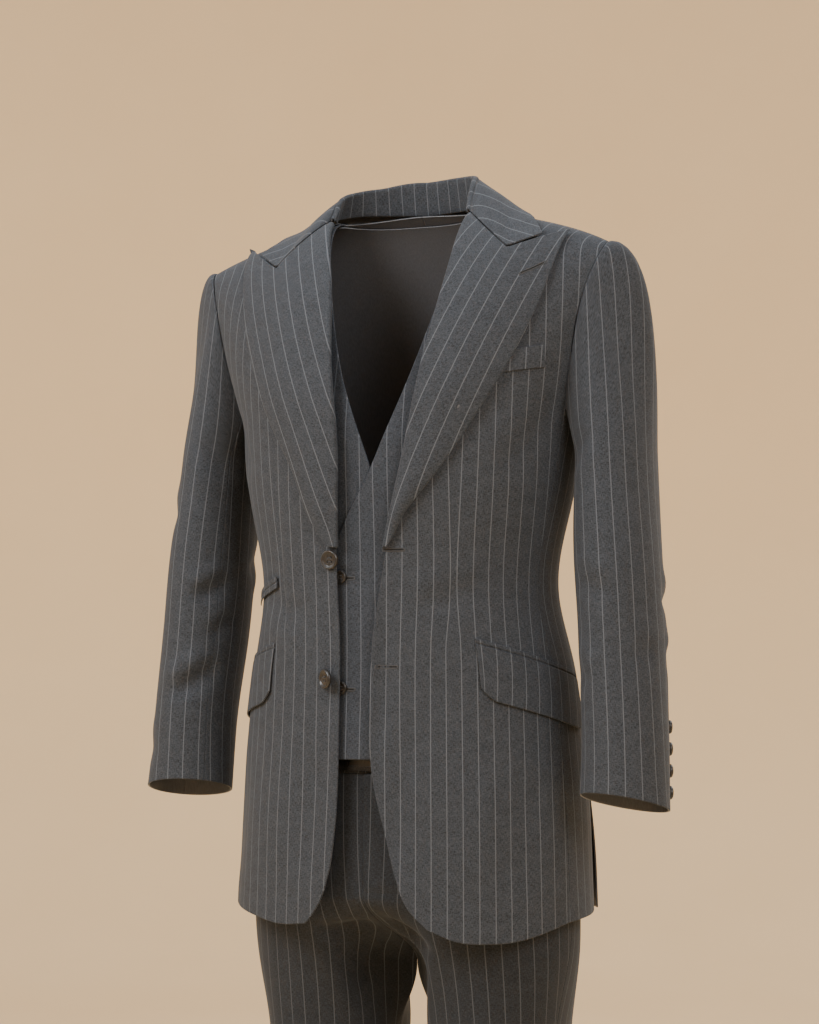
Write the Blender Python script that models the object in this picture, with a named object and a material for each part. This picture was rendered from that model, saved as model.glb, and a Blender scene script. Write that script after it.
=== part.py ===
"""A three-piece suit of grey pinstripe wool: an open jacket with wide peaked lapels, a waistcoat and trousers.

The suit is worn and hollow. Metres, +Z up; the front faces -Y and the wearer's left is +X. The origin is
the middle of the neck, level with the top of the jacket's collar.

Each piece of cloth is a wall. Its surface is a function of u and v, each from 0 to 1; the wall is that
surface on a grid, and the same points moved along the surface's normal by the cloth's thickness.
A length q is measured from the middle of the body towards the wearer's own left or right (side = 1 or -1).
"""

import bpy
import numpy as np

SIDES = LEFT, RIGHT = 1, -1
FRONT, BACK = -1, 1
SIDE_NAMES = {LEFT: "left", RIGHT: "right"}

SEAM = 0.0003  # gap between two pieces that are sewn together
RESTING = 0.0006  # gap under a piece that lies on a panel
STEP = 1e-4  # step in u and v for the normals

JACKET_CLOTH = 0.0020
SLEEVE_CLOTH = 0.0018
LAPEL_CLOTH = 0.0022
FLAP_CLOTH = 0.0018
TRIM_CLOTH = 0.0011
WAISTCOAT_CLOTH = 0.0018
TROUSER_CLOTH = 0.0014

ROUNDNESS = 2.2  # exponent of the level sections: 2 is an ellipse
CHEST_FALL = 1.5  # exponent of the depth above the armhole
NECK_BEND = 0.04  # how soon the shoulder line turns down beside the neck
SHOULDER_Q = 0.238  # half the distance between the jacket's shoulder points


class Table:
    """Rows of sizes with named columns. Between two rows a size follows a smooth curve."""

    def __init__(self, names, *rows):
        self.names = names.split()
        self.rows = np.array(rows, float)

    def __call__(self, key, name):
        keys, values = self.rows[:, 0], self.rows[:, self.names.index(name)]
        steps = np.diff(keys)
        slopes = np.diff(values) / steps
        weighted = slopes[:-1] * steps[1:] + slopes[1:] * steps[:-1]
        ends = np.concatenate([slopes[:1], weighted / (steps[1:] + steps[:-1]), slopes[-1:]])
        key = np.clip(key, keys[0], keys[-1])
        row = np.clip(np.searchsorted(keys, key, side="right") - 1, 0, len(steps) - 1)
        t = (key - keys[row]) / steps[row]
        bend = ends[row] * t * (1 - t) ** 2 - ends[row + 1] * t * t * (1 - t)
        return values[row] + (values[row + 1] - values[row]) * ease(t) + steps[row] * bend


# Level sections of each garment's body: half width, and y at the side, the front and the back.
JACKET_BODY = Table(
    "z half_width side front back",
    (-0.820, 0.2030, 0.030, -0.114, 0.152),
    (-0.725, 0.2000, 0.030, -0.112, 0.150),
    (-0.620, 0.1920, 0.032, -0.108, 0.144),
    (-0.540, 0.1835, 0.032, -0.106, 0.133),
    (-0.445, 0.1670, 0.022, -0.106, 0.118),
    (-0.330, 0.1865, 0.024, -0.112, 0.124),
    (-0.255, 0.1985, 0.028, -0.112, 0.128),
)
WAISTCOAT_BODY = Table(
    "z half_width side front back",
    (-0.640, 0.1855, 0.032, -0.0990, 0.139),
    (-0.540, 0.1755, 0.032, -0.0955, 0.126),
    (-0.445, 0.1590, 0.022, -0.0950, 0.111),
    (-0.330, 0.1780, 0.024, -0.1005, 0.117),
    (-0.290, 0.1850, 0.026, -0.1015, 0.119),
)
PELVIS = Table(
    "z half_width side front back",
    (-0.830, 0.1870, 0.036, -0.0880, 0.134),
    (-0.720, 0.1840, 0.034, -0.0900, 0.136),
    (-0.640, 0.1770, 0.032, -0.0885, 0.129),
    (-0.590, 0.1725, 0.032, -0.0865, 0.123),
)


def ease(t):
    """0 to 1 with level ends."""
    t = np.clip(t, 0, 1)
    return t * t * (3 - 2 * t)


def power(value, exponent):
    return np.sign(value) * np.abs(value) ** exponent


class Body:
    """The outer face of a garment's body, from its hem to its shoulder line.

    A level section is a superellipse. Above the armhole its depth shrinks to nothing at the shoulder line.
    """

    def __init__(self, sections, arm_z, neck_z, shoulder, ridge_y, ridge_turn, top_half_width):
        self.sections = sections
        self.arm_z = arm_z
        self.neck_z = neck_z
        self.slope, self.drop = shoulder
        self.ridge_y = ridge_y
        self.ridge_turn = ridge_turn
        self.top_half_width = top_half_width

    def size(self, z, name):
        return self.sections(np.minimum(z, self.arm_z), name)

    def shoulder(self, q):
        """Height of the shoulder line, which is level over the middle of the neck."""
        return self.neck_z - self.slope * (np.hypot(q, NECK_BEND) - NECK_BEND) - self.drop * (q / SHOULDER_Q) ** 6

    def ridge(self, q):
        """The shoulder line's y."""
        return self.ridge_y - self.ridge_turn * np.hypot(q, NECK_BEND)

    def share(self, q, z):
        """How far up z is, from the armhole's bottom (0) to the shoulder line (1)."""
        return np.maximum((z - self.arm_z) / (self.shoulder(q) - self.arm_z), 0)

    def y(self, q, z, way):
        """y of the front or the back at (q, z)."""
        share = self.share(q, z)
        width = self.size(z, "half_width")
        width = width + (self.top_half_width - width) * share
        full = np.maximum(1 - np.abs(q / width) ** ROUNDNESS, 0) ** (1 / ROUNDNESS)
        side = self.size(z, "side")
        y = side + (self.size(z, "front" if way == FRONT else "back") - side) * full
        fall = np.sqrt(np.maximum(1 - share**CHEST_FALL, 0))
        return self.ridge(q) + (y - self.ridge(q)) * fall

    def q_at(self, angle, z):
        return self.size(z, "half_width") * power(np.sin(angle), 2 / ROUNDNESS)

    def angle_at(self, q, z):
        return np.arcsin(power(q / self.size(z, "half_width"), ROUNDNESS / 2))

    def around(self, angle, z):
        """(q, y) at an angle from the front's middle, below the armhole."""
        turn = np.cos(angle)
        side = self.size(z, "side")
        depth = np.where(turn > 0, side - self.size(z, "front"), self.size(z, "back") - side)
        return self.q_at(angle, z), side - depth * power(turn, 2 / ROUNDNESS)


# The slope of each shoulder line and how far its padded end rounds down; the right shoulder hangs lower.
SHOULDERS = {LEFT: (0.215, 0.012), RIGHT: (0.295, 0.006)}
JACKETS = {side: Body(JACKET_BODY, -0.255, -0.0244, SHOULDERS[side], 0.022, 0.05, 0.262) for side in SIDES}
WAISTCOATS = {side: Body(WAISTCOAT_BODY, -0.290, -0.0271, SHOULDERS[side], 0.022, 0.05, 0.256) for side in SIDES}
JACKET = JACKETS[LEFT]  # the sides are alike below the armholes
TROUSERS = Body(PELVIS, 0.0, 1.0, (0.0, 0.0), 0.0, 0.0, 0.2)

# The seams between front, side and back, as angles from the front's middle.
SIDE_FRONT, SIDE_BACK = np.radians(78), np.radians(112)
ARM_SHARE = 0.6  # v of the armhole's bottom on fronts and backs
ARMHOLE_DIP = 0.013

# q of the fronts' inner edge: the rounded skirt, the straight edge, then the lapel's roll line.
FRONT_EDGE = Table(
    "z left right",
    (-0.810, 0.094, 0.080),
    (-0.796, 0.081, 0.061),
    (-0.780, 0.064, 0.047),
    (-0.741, 0.0456, 0.031),
    (-0.698, 0.034, 0.0248),
    (-0.643, 0.020, 0.022),
    (-0.560, 0.0155, 0.022),
    (-0.497, 0.0183, 0.022),
    (-0.414, 0.0317, 0.0250),
    (-0.300, 0.0596, 0.0245),
    (-0.213, 0.0755, 0.034),
    (-0.100, 0.0900, 0.058),
    (-0.040, 0.0890, 0.086),
)
FRONT_HEM = Table(
    "u left right",
    (0.00, -0.796, -0.796),
    (0.15, -0.807, -0.799),
    (0.40, -0.810, -0.794),
    (1.00, -0.792, -0.782),
)
BACK_HEM_Z = -0.785
# q of the armhole's front and back edges, at shares of the height above its bottom.
ARMHOLE = Table(
    "share front back",
    (0.0, 0.1945, 0.1854),
    (0.3, 0.2065, 0.2060),
    (0.6, 0.2180, 0.2190),
    (1.0, 0.2380, 0.2380),
)
NECK_Q, NAPE_SHARE = 0.088, 0.957
VENT_TOP_Z, VENT_LIFT = -0.590, 0.005


def place(side, q, y, z):
    return np.stack(np.broadcast_arrays(side * q, y, z), axis=-1)


def edge_at_share(body, edge, share):
    """q of an inner edge, given by its z, at a share of the height above the armhole's bottom."""
    q = edge(body.arm_z)
    for _ in range(4):
        q = edge(body.arm_z + share * (body.shoulder(q) - body.arm_z))
    return q


def front_surface(body, side, edge, hem, armhole, side_angle):
    """A front: u from its inner edge to the side seam, v from the hem over the armhole's bottom to the shoulder."""

    def surface(u, v):
        low = np.clip(v / ARM_SHARE, 0, 1)
        share = np.sin(np.pi / 2 * np.clip((v - ARM_SHARE) / (1 - ARM_SHARE), 0, 1))
        z = hem(u) + (body.arm_z - hem(u)) * low
        edge_z = hem(0 * u) + (body.arm_z - hem(0 * u)) * low
        first = body.angle_at(edge(edge_z), edge_z)
        q = body.q_at(first + (side_angle - first) * u, z)
        across = (q - edge(edge_z)) / (body.q_at(side_angle, z) - edge(edge_z))
        inner = edge_at_share(body, edge, share)
        upper_q = inner + (armhole(share) - inner) * across
        upper_z = body.arm_z + share * (body.shoulder(upper_q) - body.arm_z)
        q, z = np.where(share > 0, upper_q, q), np.where(share > 0, upper_z, z)
        return place(side, q, body.y(q, z, FRONT), z)

    return surface


def back_surface(body, side, hem_z, armhole, side_angle, neck_q, nape_share, flare=0.0):
    """A back: u from its middle to the side seam, v from the hem to the neck and shoulder."""

    def surface(u, v):
        low = np.clip(v / ARM_SHARE, 0, 1)
        row = np.sin(np.pi / 2 * np.clip((v - ARM_SHARE) / (1 - ARM_SHARE), 0, 1))
        z = hem_z + (body.arm_z - hem_z) * low
        opened = flare * ease((VENT_TOP_Z + 0.01 - z) / 0.05)
        angle = np.pi - (np.pi - side_angle - opened) * u
        q, y = body.around(angle, z)
        upper_q = armhole(row) * q / body.q_at(side_angle, z)
        top = 1 - (1 - nape_share) * np.clip(1 - (upper_q / neck_q) ** 2, 0, 1)
        upper_z = body.arm_z + row * top * (body.shoulder(upper_q) - body.arm_z)
        y = np.where(row > 0, body.y(upper_q, upper_z, BACK), y)
        q, z = np.where(row > 0, upper_q, q), np.where(row > 0, upper_z, z)
        lift = flare * ease((VENT_TOP_Z - z) / 0.16) * ease((u - 0.7) / 0.3)
        return place(side, q + lift, y + 0.4 * lift, z)

    return surface


def jacket_front(side):
    name = SIDE_NAMES[side]
    return front_surface(
        JACKETS[side],
        side,
        lambda z: FRONT_EDGE(z, name),
        lambda u: FRONT_HEM(u, name),
        lambda share: ARMHOLE(share, "front"),
        SIDE_FRONT,
    )


def jacket_back(side):
    return back_surface(
        JACKETS[side], side, BACK_HEM_Z, lambda s: ARMHOLE(s, "back"), SIDE_BACK, NECK_Q, NAPE_SHARE, VENT_LIFT
    )


def jacket_side(side):
    """A side body: u from the front's side seam to the back's, v from the hem to the armhole's bottom."""

    def surface(u, v):
        hem_z = FRONT_HEM(1.0, SIDE_NAMES[side])
        hem_z = hem_z + (BACK_HEM_Z - hem_z) * u
        z = hem_z + (JACKET.arm_z - ARMHOLE_DIP * np.sin(np.pi * u) - hem_z) * v
        q, y = JACKET.around(SIDE_FRONT + (SIDE_BACK - SIDE_FRONT) * u, z)
        return place(side, q, y, z)

    return surface


# The lapel: heights of its roll line and its outer edge, and q of that edge.
LAPEL = Table(
    "v roll_z edge_z left right",
    (0.0, -0.400, -0.399, 0.0375, 0.0340),
    (0.1, -0.364, -0.364, 0.0580, 0.0585),
    (0.2, -0.328, -0.326, 0.0880, 0.0740),
    (0.4, -0.258, -0.262, 0.1290, 0.1110),
    (0.6, -0.188, -0.202, 0.1610, 0.1410),
    (0.8, -0.115, -0.138, 0.1860, 0.1650),
    (1.0, -0.0465, -0.0690, 0.2010, 0.1860),
)
# The notch: how far along the lapel's upper edge, how deep, and how far the collar's corner reaches beyond.
NOTCH = {
    LEFT: {"along": 0.50, "drop": 0.033, "reach": 0.79},
    RIGHT: {"along": 0.40, "drop": 0.0445, "reach": 0.72},
}
ROLL_RADIUS, ROLL_SHARE, ROLL_GAP = 0.0023, 0.14, 0.0010
LAPEL_BELLY = 0.0035


def roll_turn(w, radius, cloth):
    """(across, out) of a cloth's middle where it turns over a roll line, for w from 0 to 1."""
    turn = np.pi * np.clip(w, 0, 1)
    return -radius * np.sin(turn), radius * (1 - np.cos(turn)) - cloth / 2


def lapel_surface(side):
    """The middle of a lapel: u turns over the roll line, then runs out to the edge; v from the button up."""
    name = SIDE_NAMES[side]

    def surface(u, v):
        w = np.clip((u - ROLL_SHARE) / (1 - ROLL_SHARE), 0, 1)
        roll_z = LAPEL(v, "roll_z")
        roll_q = FRONT_EDGE(roll_z, name)
        edge_q, edge_z = LAPEL(v, name), LAPEL(v, "edge_z")
        across, out = roll_turn(u / ROLL_SHARE, ROLL_RADIUS, JACKET_CLOTH)
        length = np.hypot(edge_q - roll_q, edge_z - roll_z)
        along = w + (across - ROLL_GAP) / length
        bottom = NOTCH[side]["along"]
        notch = NOTCH[side]["drop"] * ease((v - 0.72) / 0.28)
        notch = notch * np.clip(np.minimum(along / bottom, (1 - along) / (1 - bottom)), 0, 1)
        q = roll_q + (edge_q - roll_q) * along
        z = roll_z + (edge_z - roll_z) * along - notch
        out = out + LAPEL_BELLY * np.sin(np.pi * w) ** 0.8 * ease(v / 0.15) + 0.0004 * ease(w / 0.5)
        return lifted(JACKETS[side], side, q, z, out)

    return surface


def lifted(body, side, q, z, out):
    """Points over a body's front, at a distance out from its outer face."""
    tiny = 1e-4
    over = np.maximum(z - body.shoulder(q) + 0.006, 0)
    z = z - over
    y = body.y(q, z, FRONT)
    slope_q = (body.y(q + tiny, z, FRONT) - body.y(q - tiny, z, FRONT)) / (2 * tiny)
    slope_z = (y - body.y(q, z - tiny, FRONT)) / tiny
    length = np.sqrt(1 + slope_q**2 + slope_z**2)
    return place(side, q + out * slope_q / length, y - out / length, z + out * slope_z / length + over)


# The collar, from the middle of the back (t = 0) to its front end (t = 1): seam, fold and outer edge.
COLLAR = Table(
    "t seam_q seam_y seam_z fold_q fold_y fold_z edge_q edge_y edge_z",
    (0.00, 0.000, 0.0640, -0.0325, 0.000, 0.0610, 0.0035, 0.000, 0.088, -0.043),
    (0.30, 0.040, 0.0570, -0.0310, 0.041, 0.0520, 0.0050, 0.062, 0.080, -0.043),
    (0.55, 0.073, 0.0370, -0.0320, 0.071, 0.0330, 0.0025, 0.108, 0.052, -0.043),
    (0.75, 0.0875, 0.0140, -0.0375, 0.0805, 0.0100, -0.0060, 0.138, 0.018, -0.044),
    (1.00, 0.0885, -0.0040, -0.0425, 0.0890, -0.0105, -0.0385, 0.1680, -0.020, -0.0785),
)
COLLAR_DRIFT = 0.008  # the collar's front ends hang this far towards the wearer's left
COLLAR_TILT = 0.009  # how much lower the collar lies on the wearer's right
GORGE_GAP, NOTCH_GAP = 0.0016, 0.0030  # gaps over the lapel: along the seam, and at the collar's corner
COLLAR_STAND, COLLAR_TURN = 0.22, 0.36  # shares of u for the stand, and up to the fold's end
COLLAR_RADIUS = 0.0022
COLLAR_NOTCH_U = 0.62


def clear_of(body, points, margin):
    """Points moved out of a body's shoulders, until they are a margin away."""

    def height(p):
        q, y, z = p[..., 0], p[..., 1], p[..., 2]
        share = body.share(q, z)
        width = body.size(z, "half_width")
        width = width + (body.top_half_width - width) * share
        full = np.maximum(1 - np.abs(q / width) ** ROUNDNESS, 1e-4) ** (1 / ROUNDNESS)
        side, ridge = body.size(z, "side"), body.ridge(q)
        reach = np.where(y < ridge, body.size(z, "front"), body.size(z, "back"))
        reach = side + (reach - side) * full - ridge
        return share**CHEST_FALL + ((y - ridge) / reach) ** 2 - 1

    points = points.copy()
    for _ in range(6):
        value = height(points)
        steps = 1e-5 * np.eye(3)
        slope = np.stack([(height(points + step) - value) / 1e-5 for step in steps], axis=-1)
        size = np.linalg.norm(slope, axis=-1)
        short = np.clip(margin - value / size, 0, 0.004)
        points += (short / size)[..., None] * slope
    return points


def free_collar(u, v):
    """The middle of the collar: u from the neck seam over the fold to the outer edge, v round the neck."""
    t = 2 * v - 1
    side, t = np.where(t < 0, -1.0, 1.0), np.abs(t)
    parts = {name: COLLAR(t, name) for name in COLLAR.names[1:]}
    seam, fold, edge = (np.stack([parts[f"{p}_{a}"] for a in "qyz"], axis=-1) for p in ("seam", "fold", "edge"))
    out = edge - fold
    out[..., 2] = 0
    out /= np.linalg.norm(out, axis=-1, keepdims=True)
    up = np.array([0.0, 0.0, 1.0])
    centre = fold - COLLAR_RADIUS * up
    inner, outer = centre - COLLAR_RADIUS * out, centre + COLLAR_RADIUS * out
    stand = np.clip(u / COLLAR_STAND, 0, 1)[..., None]
    turn = np.pi * np.clip((u - COLLAR_STAND) / (COLLAR_TURN - COLLAR_STAND), 0, 1)[..., None]
    fall = np.clip((u - COLLAR_TURN) / (1 - COLLAR_TURN), 0, 1)[..., None]
    over = centre - COLLAR_RADIUS * (np.cos(turn) * out - np.sin(turn) * up)
    down = outer + (edge - outer) * fall
    down += 0.004 * np.sin(np.pi * fall) * (1 - 0.6 * t[..., None] ** 2) * up
    points = np.where(u[..., None] < COLLAR_STAND, seam + (inner - seam) * stand, over)
    points = np.where(u[..., None] < COLLAR_TURN, points, down)
    points[..., 0] = side * points[..., 0] + COLLAR_DRIFT * ease((t - 0.6) / 0.4) * fall[..., 0]
    tilt = COLLAR_TILT * ease(0.3 - side * t) * ease(t / 0.4) * ease((1 - t) / 0.3)
    points[..., 2] -= tilt * stand[..., 0]
    return points


def collar_surface(u, v):
    """The middle of the collar, whose two ends follow the lapels' upper edges."""
    fall = np.clip((u - COLLAR_TURN) / (1 - COLLAR_TURN), 0, 1)
    sewn = np.minimum(fall / COLLAR_NOTCH_U, 1)
    free = np.maximum(fall - COLLAR_NOTCH_U, 0) / (1 - COLLAR_NOTCH_U)
    lift = (GORGE_GAP + (NOTCH_GAP - GORGE_GAP) * free)[..., None] * np.array([0.0, 0.0, 1.0])
    points = free_collar(u, v)
    for side in SIDES:
        notch = NOTCH[side]
        along = notch["along"] * sewn + (notch["reach"] - notch["along"]) * free
        gorge = lapel_surface(side)(ROLL_SHARE + (1 - ROLL_SHARE) * along, np.ones_like(v)) + lift
        own = free_collar(np.maximum(u, COLLAR_TURN), np.full_like(v, (1 + side) / 2))
        near = ease((side * (2 * v - 1) - 0.70) / 0.30)
        points = points + near[..., None] * (gorge - own)
    margin = LAPEL_CLOTH / 2 + 0.0010 + 0.0012 * np.abs(2 * v - 1)
    left, right = (clear_of(JACKETS[side], points, margin) for side in SIDES)
    cleared = np.where((v > 0.5)[..., None], left, right)
    return np.where(u[..., None] < COLLAR_TURN, points, cleared)


# The arms' middle line and half widths, from the top of the arm to the cuff.
ARM = Table(
    "z x y half_x half_y",
    (-0.672, 0.2625, -0.010, 0.0480, 0.0460),
    (-0.590, 0.2595, -0.001, 0.0440, 0.0510),
    (-0.500, 0.2530, 0.0080, 0.0450, 0.0560),
    (-0.410, 0.2460, 0.0135, 0.0435, 0.0595),
    (-0.300, 0.2390, 0.0250, 0.0405, 0.0610),
)
ARM_TOP_Z, CUFF_Z = -0.300, -0.665
CAP_SHARE = 0.36
CAP_FLATNESS = 0.88  # how much flatter the sleeve's head is at the front
CUFF_TILT = 0.25
FRONT_SEAM, BACK_SEAM = np.radians(140), np.radians(-50)
SLEEVE_GAP = 0.0007


def armhole_curve(side, psi):
    """Points round the armhole: psi is 0 at the shoulder, a quarter turn at the front, a half turn below."""
    front, flank, back = jacket_front(side), jacket_side(side), jacket_back(side)
    run = np.linspace(0, 1, 240)
    one = np.ones_like(run)
    down = front(one, 1 - run * (1 - ARM_SHARE))
    under = flank(run, one)
    up = back(one, ARM_SHARE + run * (1 - ARM_SHARE))
    loop = np.concatenate([down, under[1:], up[1:]])
    length = np.concatenate([[0], np.cumsum(np.linalg.norm(np.diff(loop, axis=0), axis=1))])
    low = length[len(down) + len(under) // 2 - 1]
    turn = np.mod(psi, 2 * np.pi) / np.pi
    arc = np.where(turn <= 1, low * turn, low + (length[-1] - low) * (turn - 1))
    return np.stack([np.interp(arc, length, loop[:, i]) for i in range(3)], axis=-1)


def arm_ring(side, psi, z):
    """Points round the arm at a height z of its middle line."""
    x = ARM(z, "x") + ARM(z, "half_x") * np.cos(psi)
    reach = ARM(z, "half_y") * np.sin(psi)
    tilt = CUFF_TILT * ease((ARM_TOP_Z - z) / (ARM_TOP_Z - CUFF_Z))
    return place(side, x, ARM(z, "y") - reach, z + tilt * reach - 0.08 * tilt / CUFF_TILT * (x - ARM(z, "x")))


def sleeve_surface(side, first, last):
    """Part of a sleeve: u turns round the arm from one seam to the other, v from the armhole to the cuff."""

    def surface(u, v):
        psi = first + (last - first) * u
        start = armhole_curve(side, psi) + np.array([side * SLEEVE_GAP, 0, 0])
        end = arm_ring(side, psi, ARM_TOP_Z + 0 * psi)
        flat = ease((np.sin(psi) + 0.3) / 0.9)
        reach = (0.75 - 0.15 * flat)[..., None] * np.linalg.norm(end - start, axis=-1, keepdims=True)
        high = (1 + np.cos(psi)) / 2
        aside = np.where(np.sin(psi) > 0, 0.15, 0.5) * np.sin(psi)
        leave = np.stack([side * (0.95 * np.sqrt(high) + 0.05), -aside, 0.2 - 1.2 * (1 - high)], axis=-1)
        leave /= np.linalg.norm(leave, axis=-1, keepdims=True)
        leave[..., 0] *= 1 - CAP_FLATNESS * flat
        t = np.clip(v / CAP_SHARE, 0, 1)[..., None]
        cap = start + (end - start) * ease(t)
        cap = cap + reach * (leave * t * (1 - t) ** 2 - np.array([side * 0.07, -0.1, -1.0]) * t * t * (1 - t))
        z = ARM_TOP_Z + (CUFF_Z - ARM_TOP_Z) * np.clip((v - CAP_SHARE) / (1 - CAP_SHARE), 0, 1)
        return np.where((v <= CAP_SHARE)[..., None], cap, arm_ring(side, psi, z))

    return surface


# The waistcoat: q of its fronts' inner edge (left laps over right), and of its armholes.
VEST_EDGE = Table(
    "z left right",
    (-0.640, -0.036, -0.033),
    (-0.420, -0.034, -0.033),
    (-0.400, -0.0300, -0.033),
    (-0.319, 0.0130, -0.0130),
    (-0.210, 0.0570, 0.0290),
    (-0.120, 0.0790, 0.0560),
    (-0.045, 0.0860, 0.0800),
)
VEST_ARMHOLE = Table(
    "share front back",
    (0.0, 0.1850, 0.1850),
    (0.15, 0.1740, 0.1760),
    (0.3, 0.1650, 0.1690),
    (0.6, 0.1560, 0.1620),
    (1.0, 0.1640, 0.1640),
)
VEST_SIDE = np.radians(90)
VEST_HEM_Z, VEST_BACK_HEM_Z = -0.623, -0.605
VEST_LAP = 0.0026


def vest_front(side):
    name = SIDE_NAMES[side]
    plain = front_surface(
        WAISTCOATS[side],
        side,
        lambda z: VEST_EDGE(z, name),
        lambda u: VEST_HEM_Z + (VEST_BACK_HEM_Z - VEST_HEM_Z) * ease(u),
        lambda share: VEST_ARMHOLE(share, "front"),
        VEST_SIDE,
    )

    def surface(u, v):
        points = plain(u, v)
        if side == LEFT:
            points[..., 1] -= VEST_LAP * (1 - ease((points[..., 0] - 0.036) / 0.05))
        return points

    return surface


def vest_back(u, v):
    """The waistcoat's back in one piece: u from the right side seam to the left."""
    right, left = (
        back_surface(WAISTCOATS[way], way, VEST_BACK_HEM_Z, lambda s: VEST_ARMHOLE(s, "back"), VEST_SIDE, 0.086, 0.93)
        for way in (RIGHT, LEFT)
    )
    across = np.abs(2 * u - 1)
    return np.where((u < 0.5)[..., None], right(across, v), left(across, v))


# The legs' middle line and half widths.
LEG = Table(
    "z x y half_x half_y",
    (-1.535, 0.090, 0.050, 0.0540, 0.0620),
    (-1.300, 0.092, 0.046, 0.0580, 0.0680),
    (-1.100, 0.094, 0.041, 0.0650, 0.0765),
    (-0.900, 0.0966, 0.038, 0.0740, 0.0870),
    (-0.790, 0.0940, 0.030, 0.0890, 0.0950),
)
WAISTBAND_TOP_Z, WAISTBAND_LOW_Z = -0.596, -0.6375
FORK_TOP_Z, CROTCH_Z, FORK_Z, LEG_HEM_Z = -0.767, -0.848, -0.926, -1.535
CROTCH_SHARE = 0.30  # share of a panel's width that runs back under the body to the crotch
TROUSER_SIDE, LEG_SIDE = np.radians(88), np.radians(172)


def trouser_surface(side, way):
    """A trouser panel: u from the middle of the front or back, and the inner leg below it, to the side seam.

    Below the fork's top, the inner edge runs under the body to the crotch, and then parts from the other leg.
    """

    def surface(u, v):
        z = LEG_HEM_Z + (WAISTBAND_LOW_Z - SEAM - LEG_HEM_Z) * v
        if way == FRONT:
            angle, turn = TROUSER_SIDE * u, LEG_SIDE * u
        else:
            angle, turn = np.pi - (np.pi - TROUSER_SIDE) * u, -(2 * np.pi - LEG_SIDE) * u
        q, y = TROUSERS.around(angle, z)
        leg_q = LEG(z, "x") - LEG(z, "half_x") * power(np.cos(turn), 2 / ROUNDNESS)
        leg_y = LEG(z, "y") - LEG(z, "half_y") * power(np.sin(turn), 2 / ROUNDNESS)
        blend = ease((FORK_TOP_Z - z) / (FORK_TOP_Z - FORK_Z))
        inner = 1 - ease(u / CROTCH_SHARE)
        under = blend + (ease((FORK_TOP_Z - z) / (FORK_TOP_Z - CROTCH_Z)) - blend) * inner
        apart = blend + (ease((CROTCH_Z - z) / (CROTCH_Z - FORK_Z)) - blend) * inner
        seam = np.where(way == FRONT, -3.5, 3.5) * SEAM * inner * ease((FORK_TOP_Z - z) / 0.03)
        return place(side, q + (leg_q - q) * apart, y + (leg_y - y) * under + seam, z)

    return surface


def trouser_row(z):
    """v of a trouser panel at a height."""
    return (z - LEG_HEM_Z) / (WAISTBAND_LOW_Z - SEAM - LEG_HEM_Z)


def band_surface(body, low_z, high_z, out, first, last):
    """A band round a body: u from one angle to another, v from its lower edge up."""

    def surface(u, v):
        return lifted_round(body, LEFT, first + (last - first) * u, low_z + (high_z - low_z) * v, out)

    return surface


def raised(panel, out, inwards):
    """A surface over a panel, made from the panel's own points moved out."""

    def surface(u, v):
        return panel(u, v) + normals(panel, u, v, inwards) * out

    return surface


def normals(surface, u, v, inwards):
    """Unit normals that point away from the points that inwards gives."""
    u_low, u_high = np.clip(u - STEP, 0, 1), np.clip(u + STEP, 0, 1)
    v_low, v_high = np.clip(v - STEP, 0, 1), np.clip(v + STEP, 0, 1)
    normal = np.cross(surface(u_high, v) - surface(u_low, v), surface(u, v_high) - surface(u, v_low))
    normal /= np.linalg.norm(normal, axis=-1, keepdims=True)
    points = surface(u, v)
    outwards = (normal * (points - inwards(points))).sum(-1).mean() > 0
    return normal if outwards else -normal


def axis_of(x, y):
    """For each point, the point of an upright axis level with it."""

    def inwards(points):
        return np.stack([x + 0 * points[..., 2], y + 0 * points[..., 2], points[..., 2]], axis=-1)

    return inwards


TRUNK = axis_of(0.0, 0.02)
ARMS = {side: axis_of(side * 0.252, 0.01) for side in SIDES}
LEGS = {side: axis_of(side * 0.09, 0.03) for side in SIDES}


def material(name, colour, roughness, metallic=0.0):
    found = bpy.data.materials.new(name)
    found.use_nodes = True
    shader = found.node_tree.nodes["Principled BSDF"]
    shader.inputs["Base Color"].default_value = (*colour, 1)
    shader.inputs["Roughness"].default_value = roughness
    shader.inputs["Metallic"].default_value = metallic
    found.diffuse_color = (*colour, 1)
    return found


def mesh_object(name, points, faces, finish, smooth=True):
    """An object whose faces point outwards."""
    mesh = bpy.data.meshes.new(name)
    mesh.from_pydata(points.tolist(), [], faces)
    mesh.materials.append(finish)
    mesh.validate()
    mesh.calc_loop_triangles()
    corners = points[np.array([t.vertices[:] for t in mesh.loop_triangles])]
    if np.einsum("ij,ij->i", corners[:, 0], np.cross(corners[:, 1], corners[:, 2])).sum() < 0:
        mesh.flip_normals()
    if smooth:
        mesh.shade_smooth()
        mesh.set_sharp_from_angle(angle=np.radians(40))
    made = bpy.data.objects.new(name, mesh)
    bpy.context.scene.collection.objects.link(made)
    return made


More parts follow.
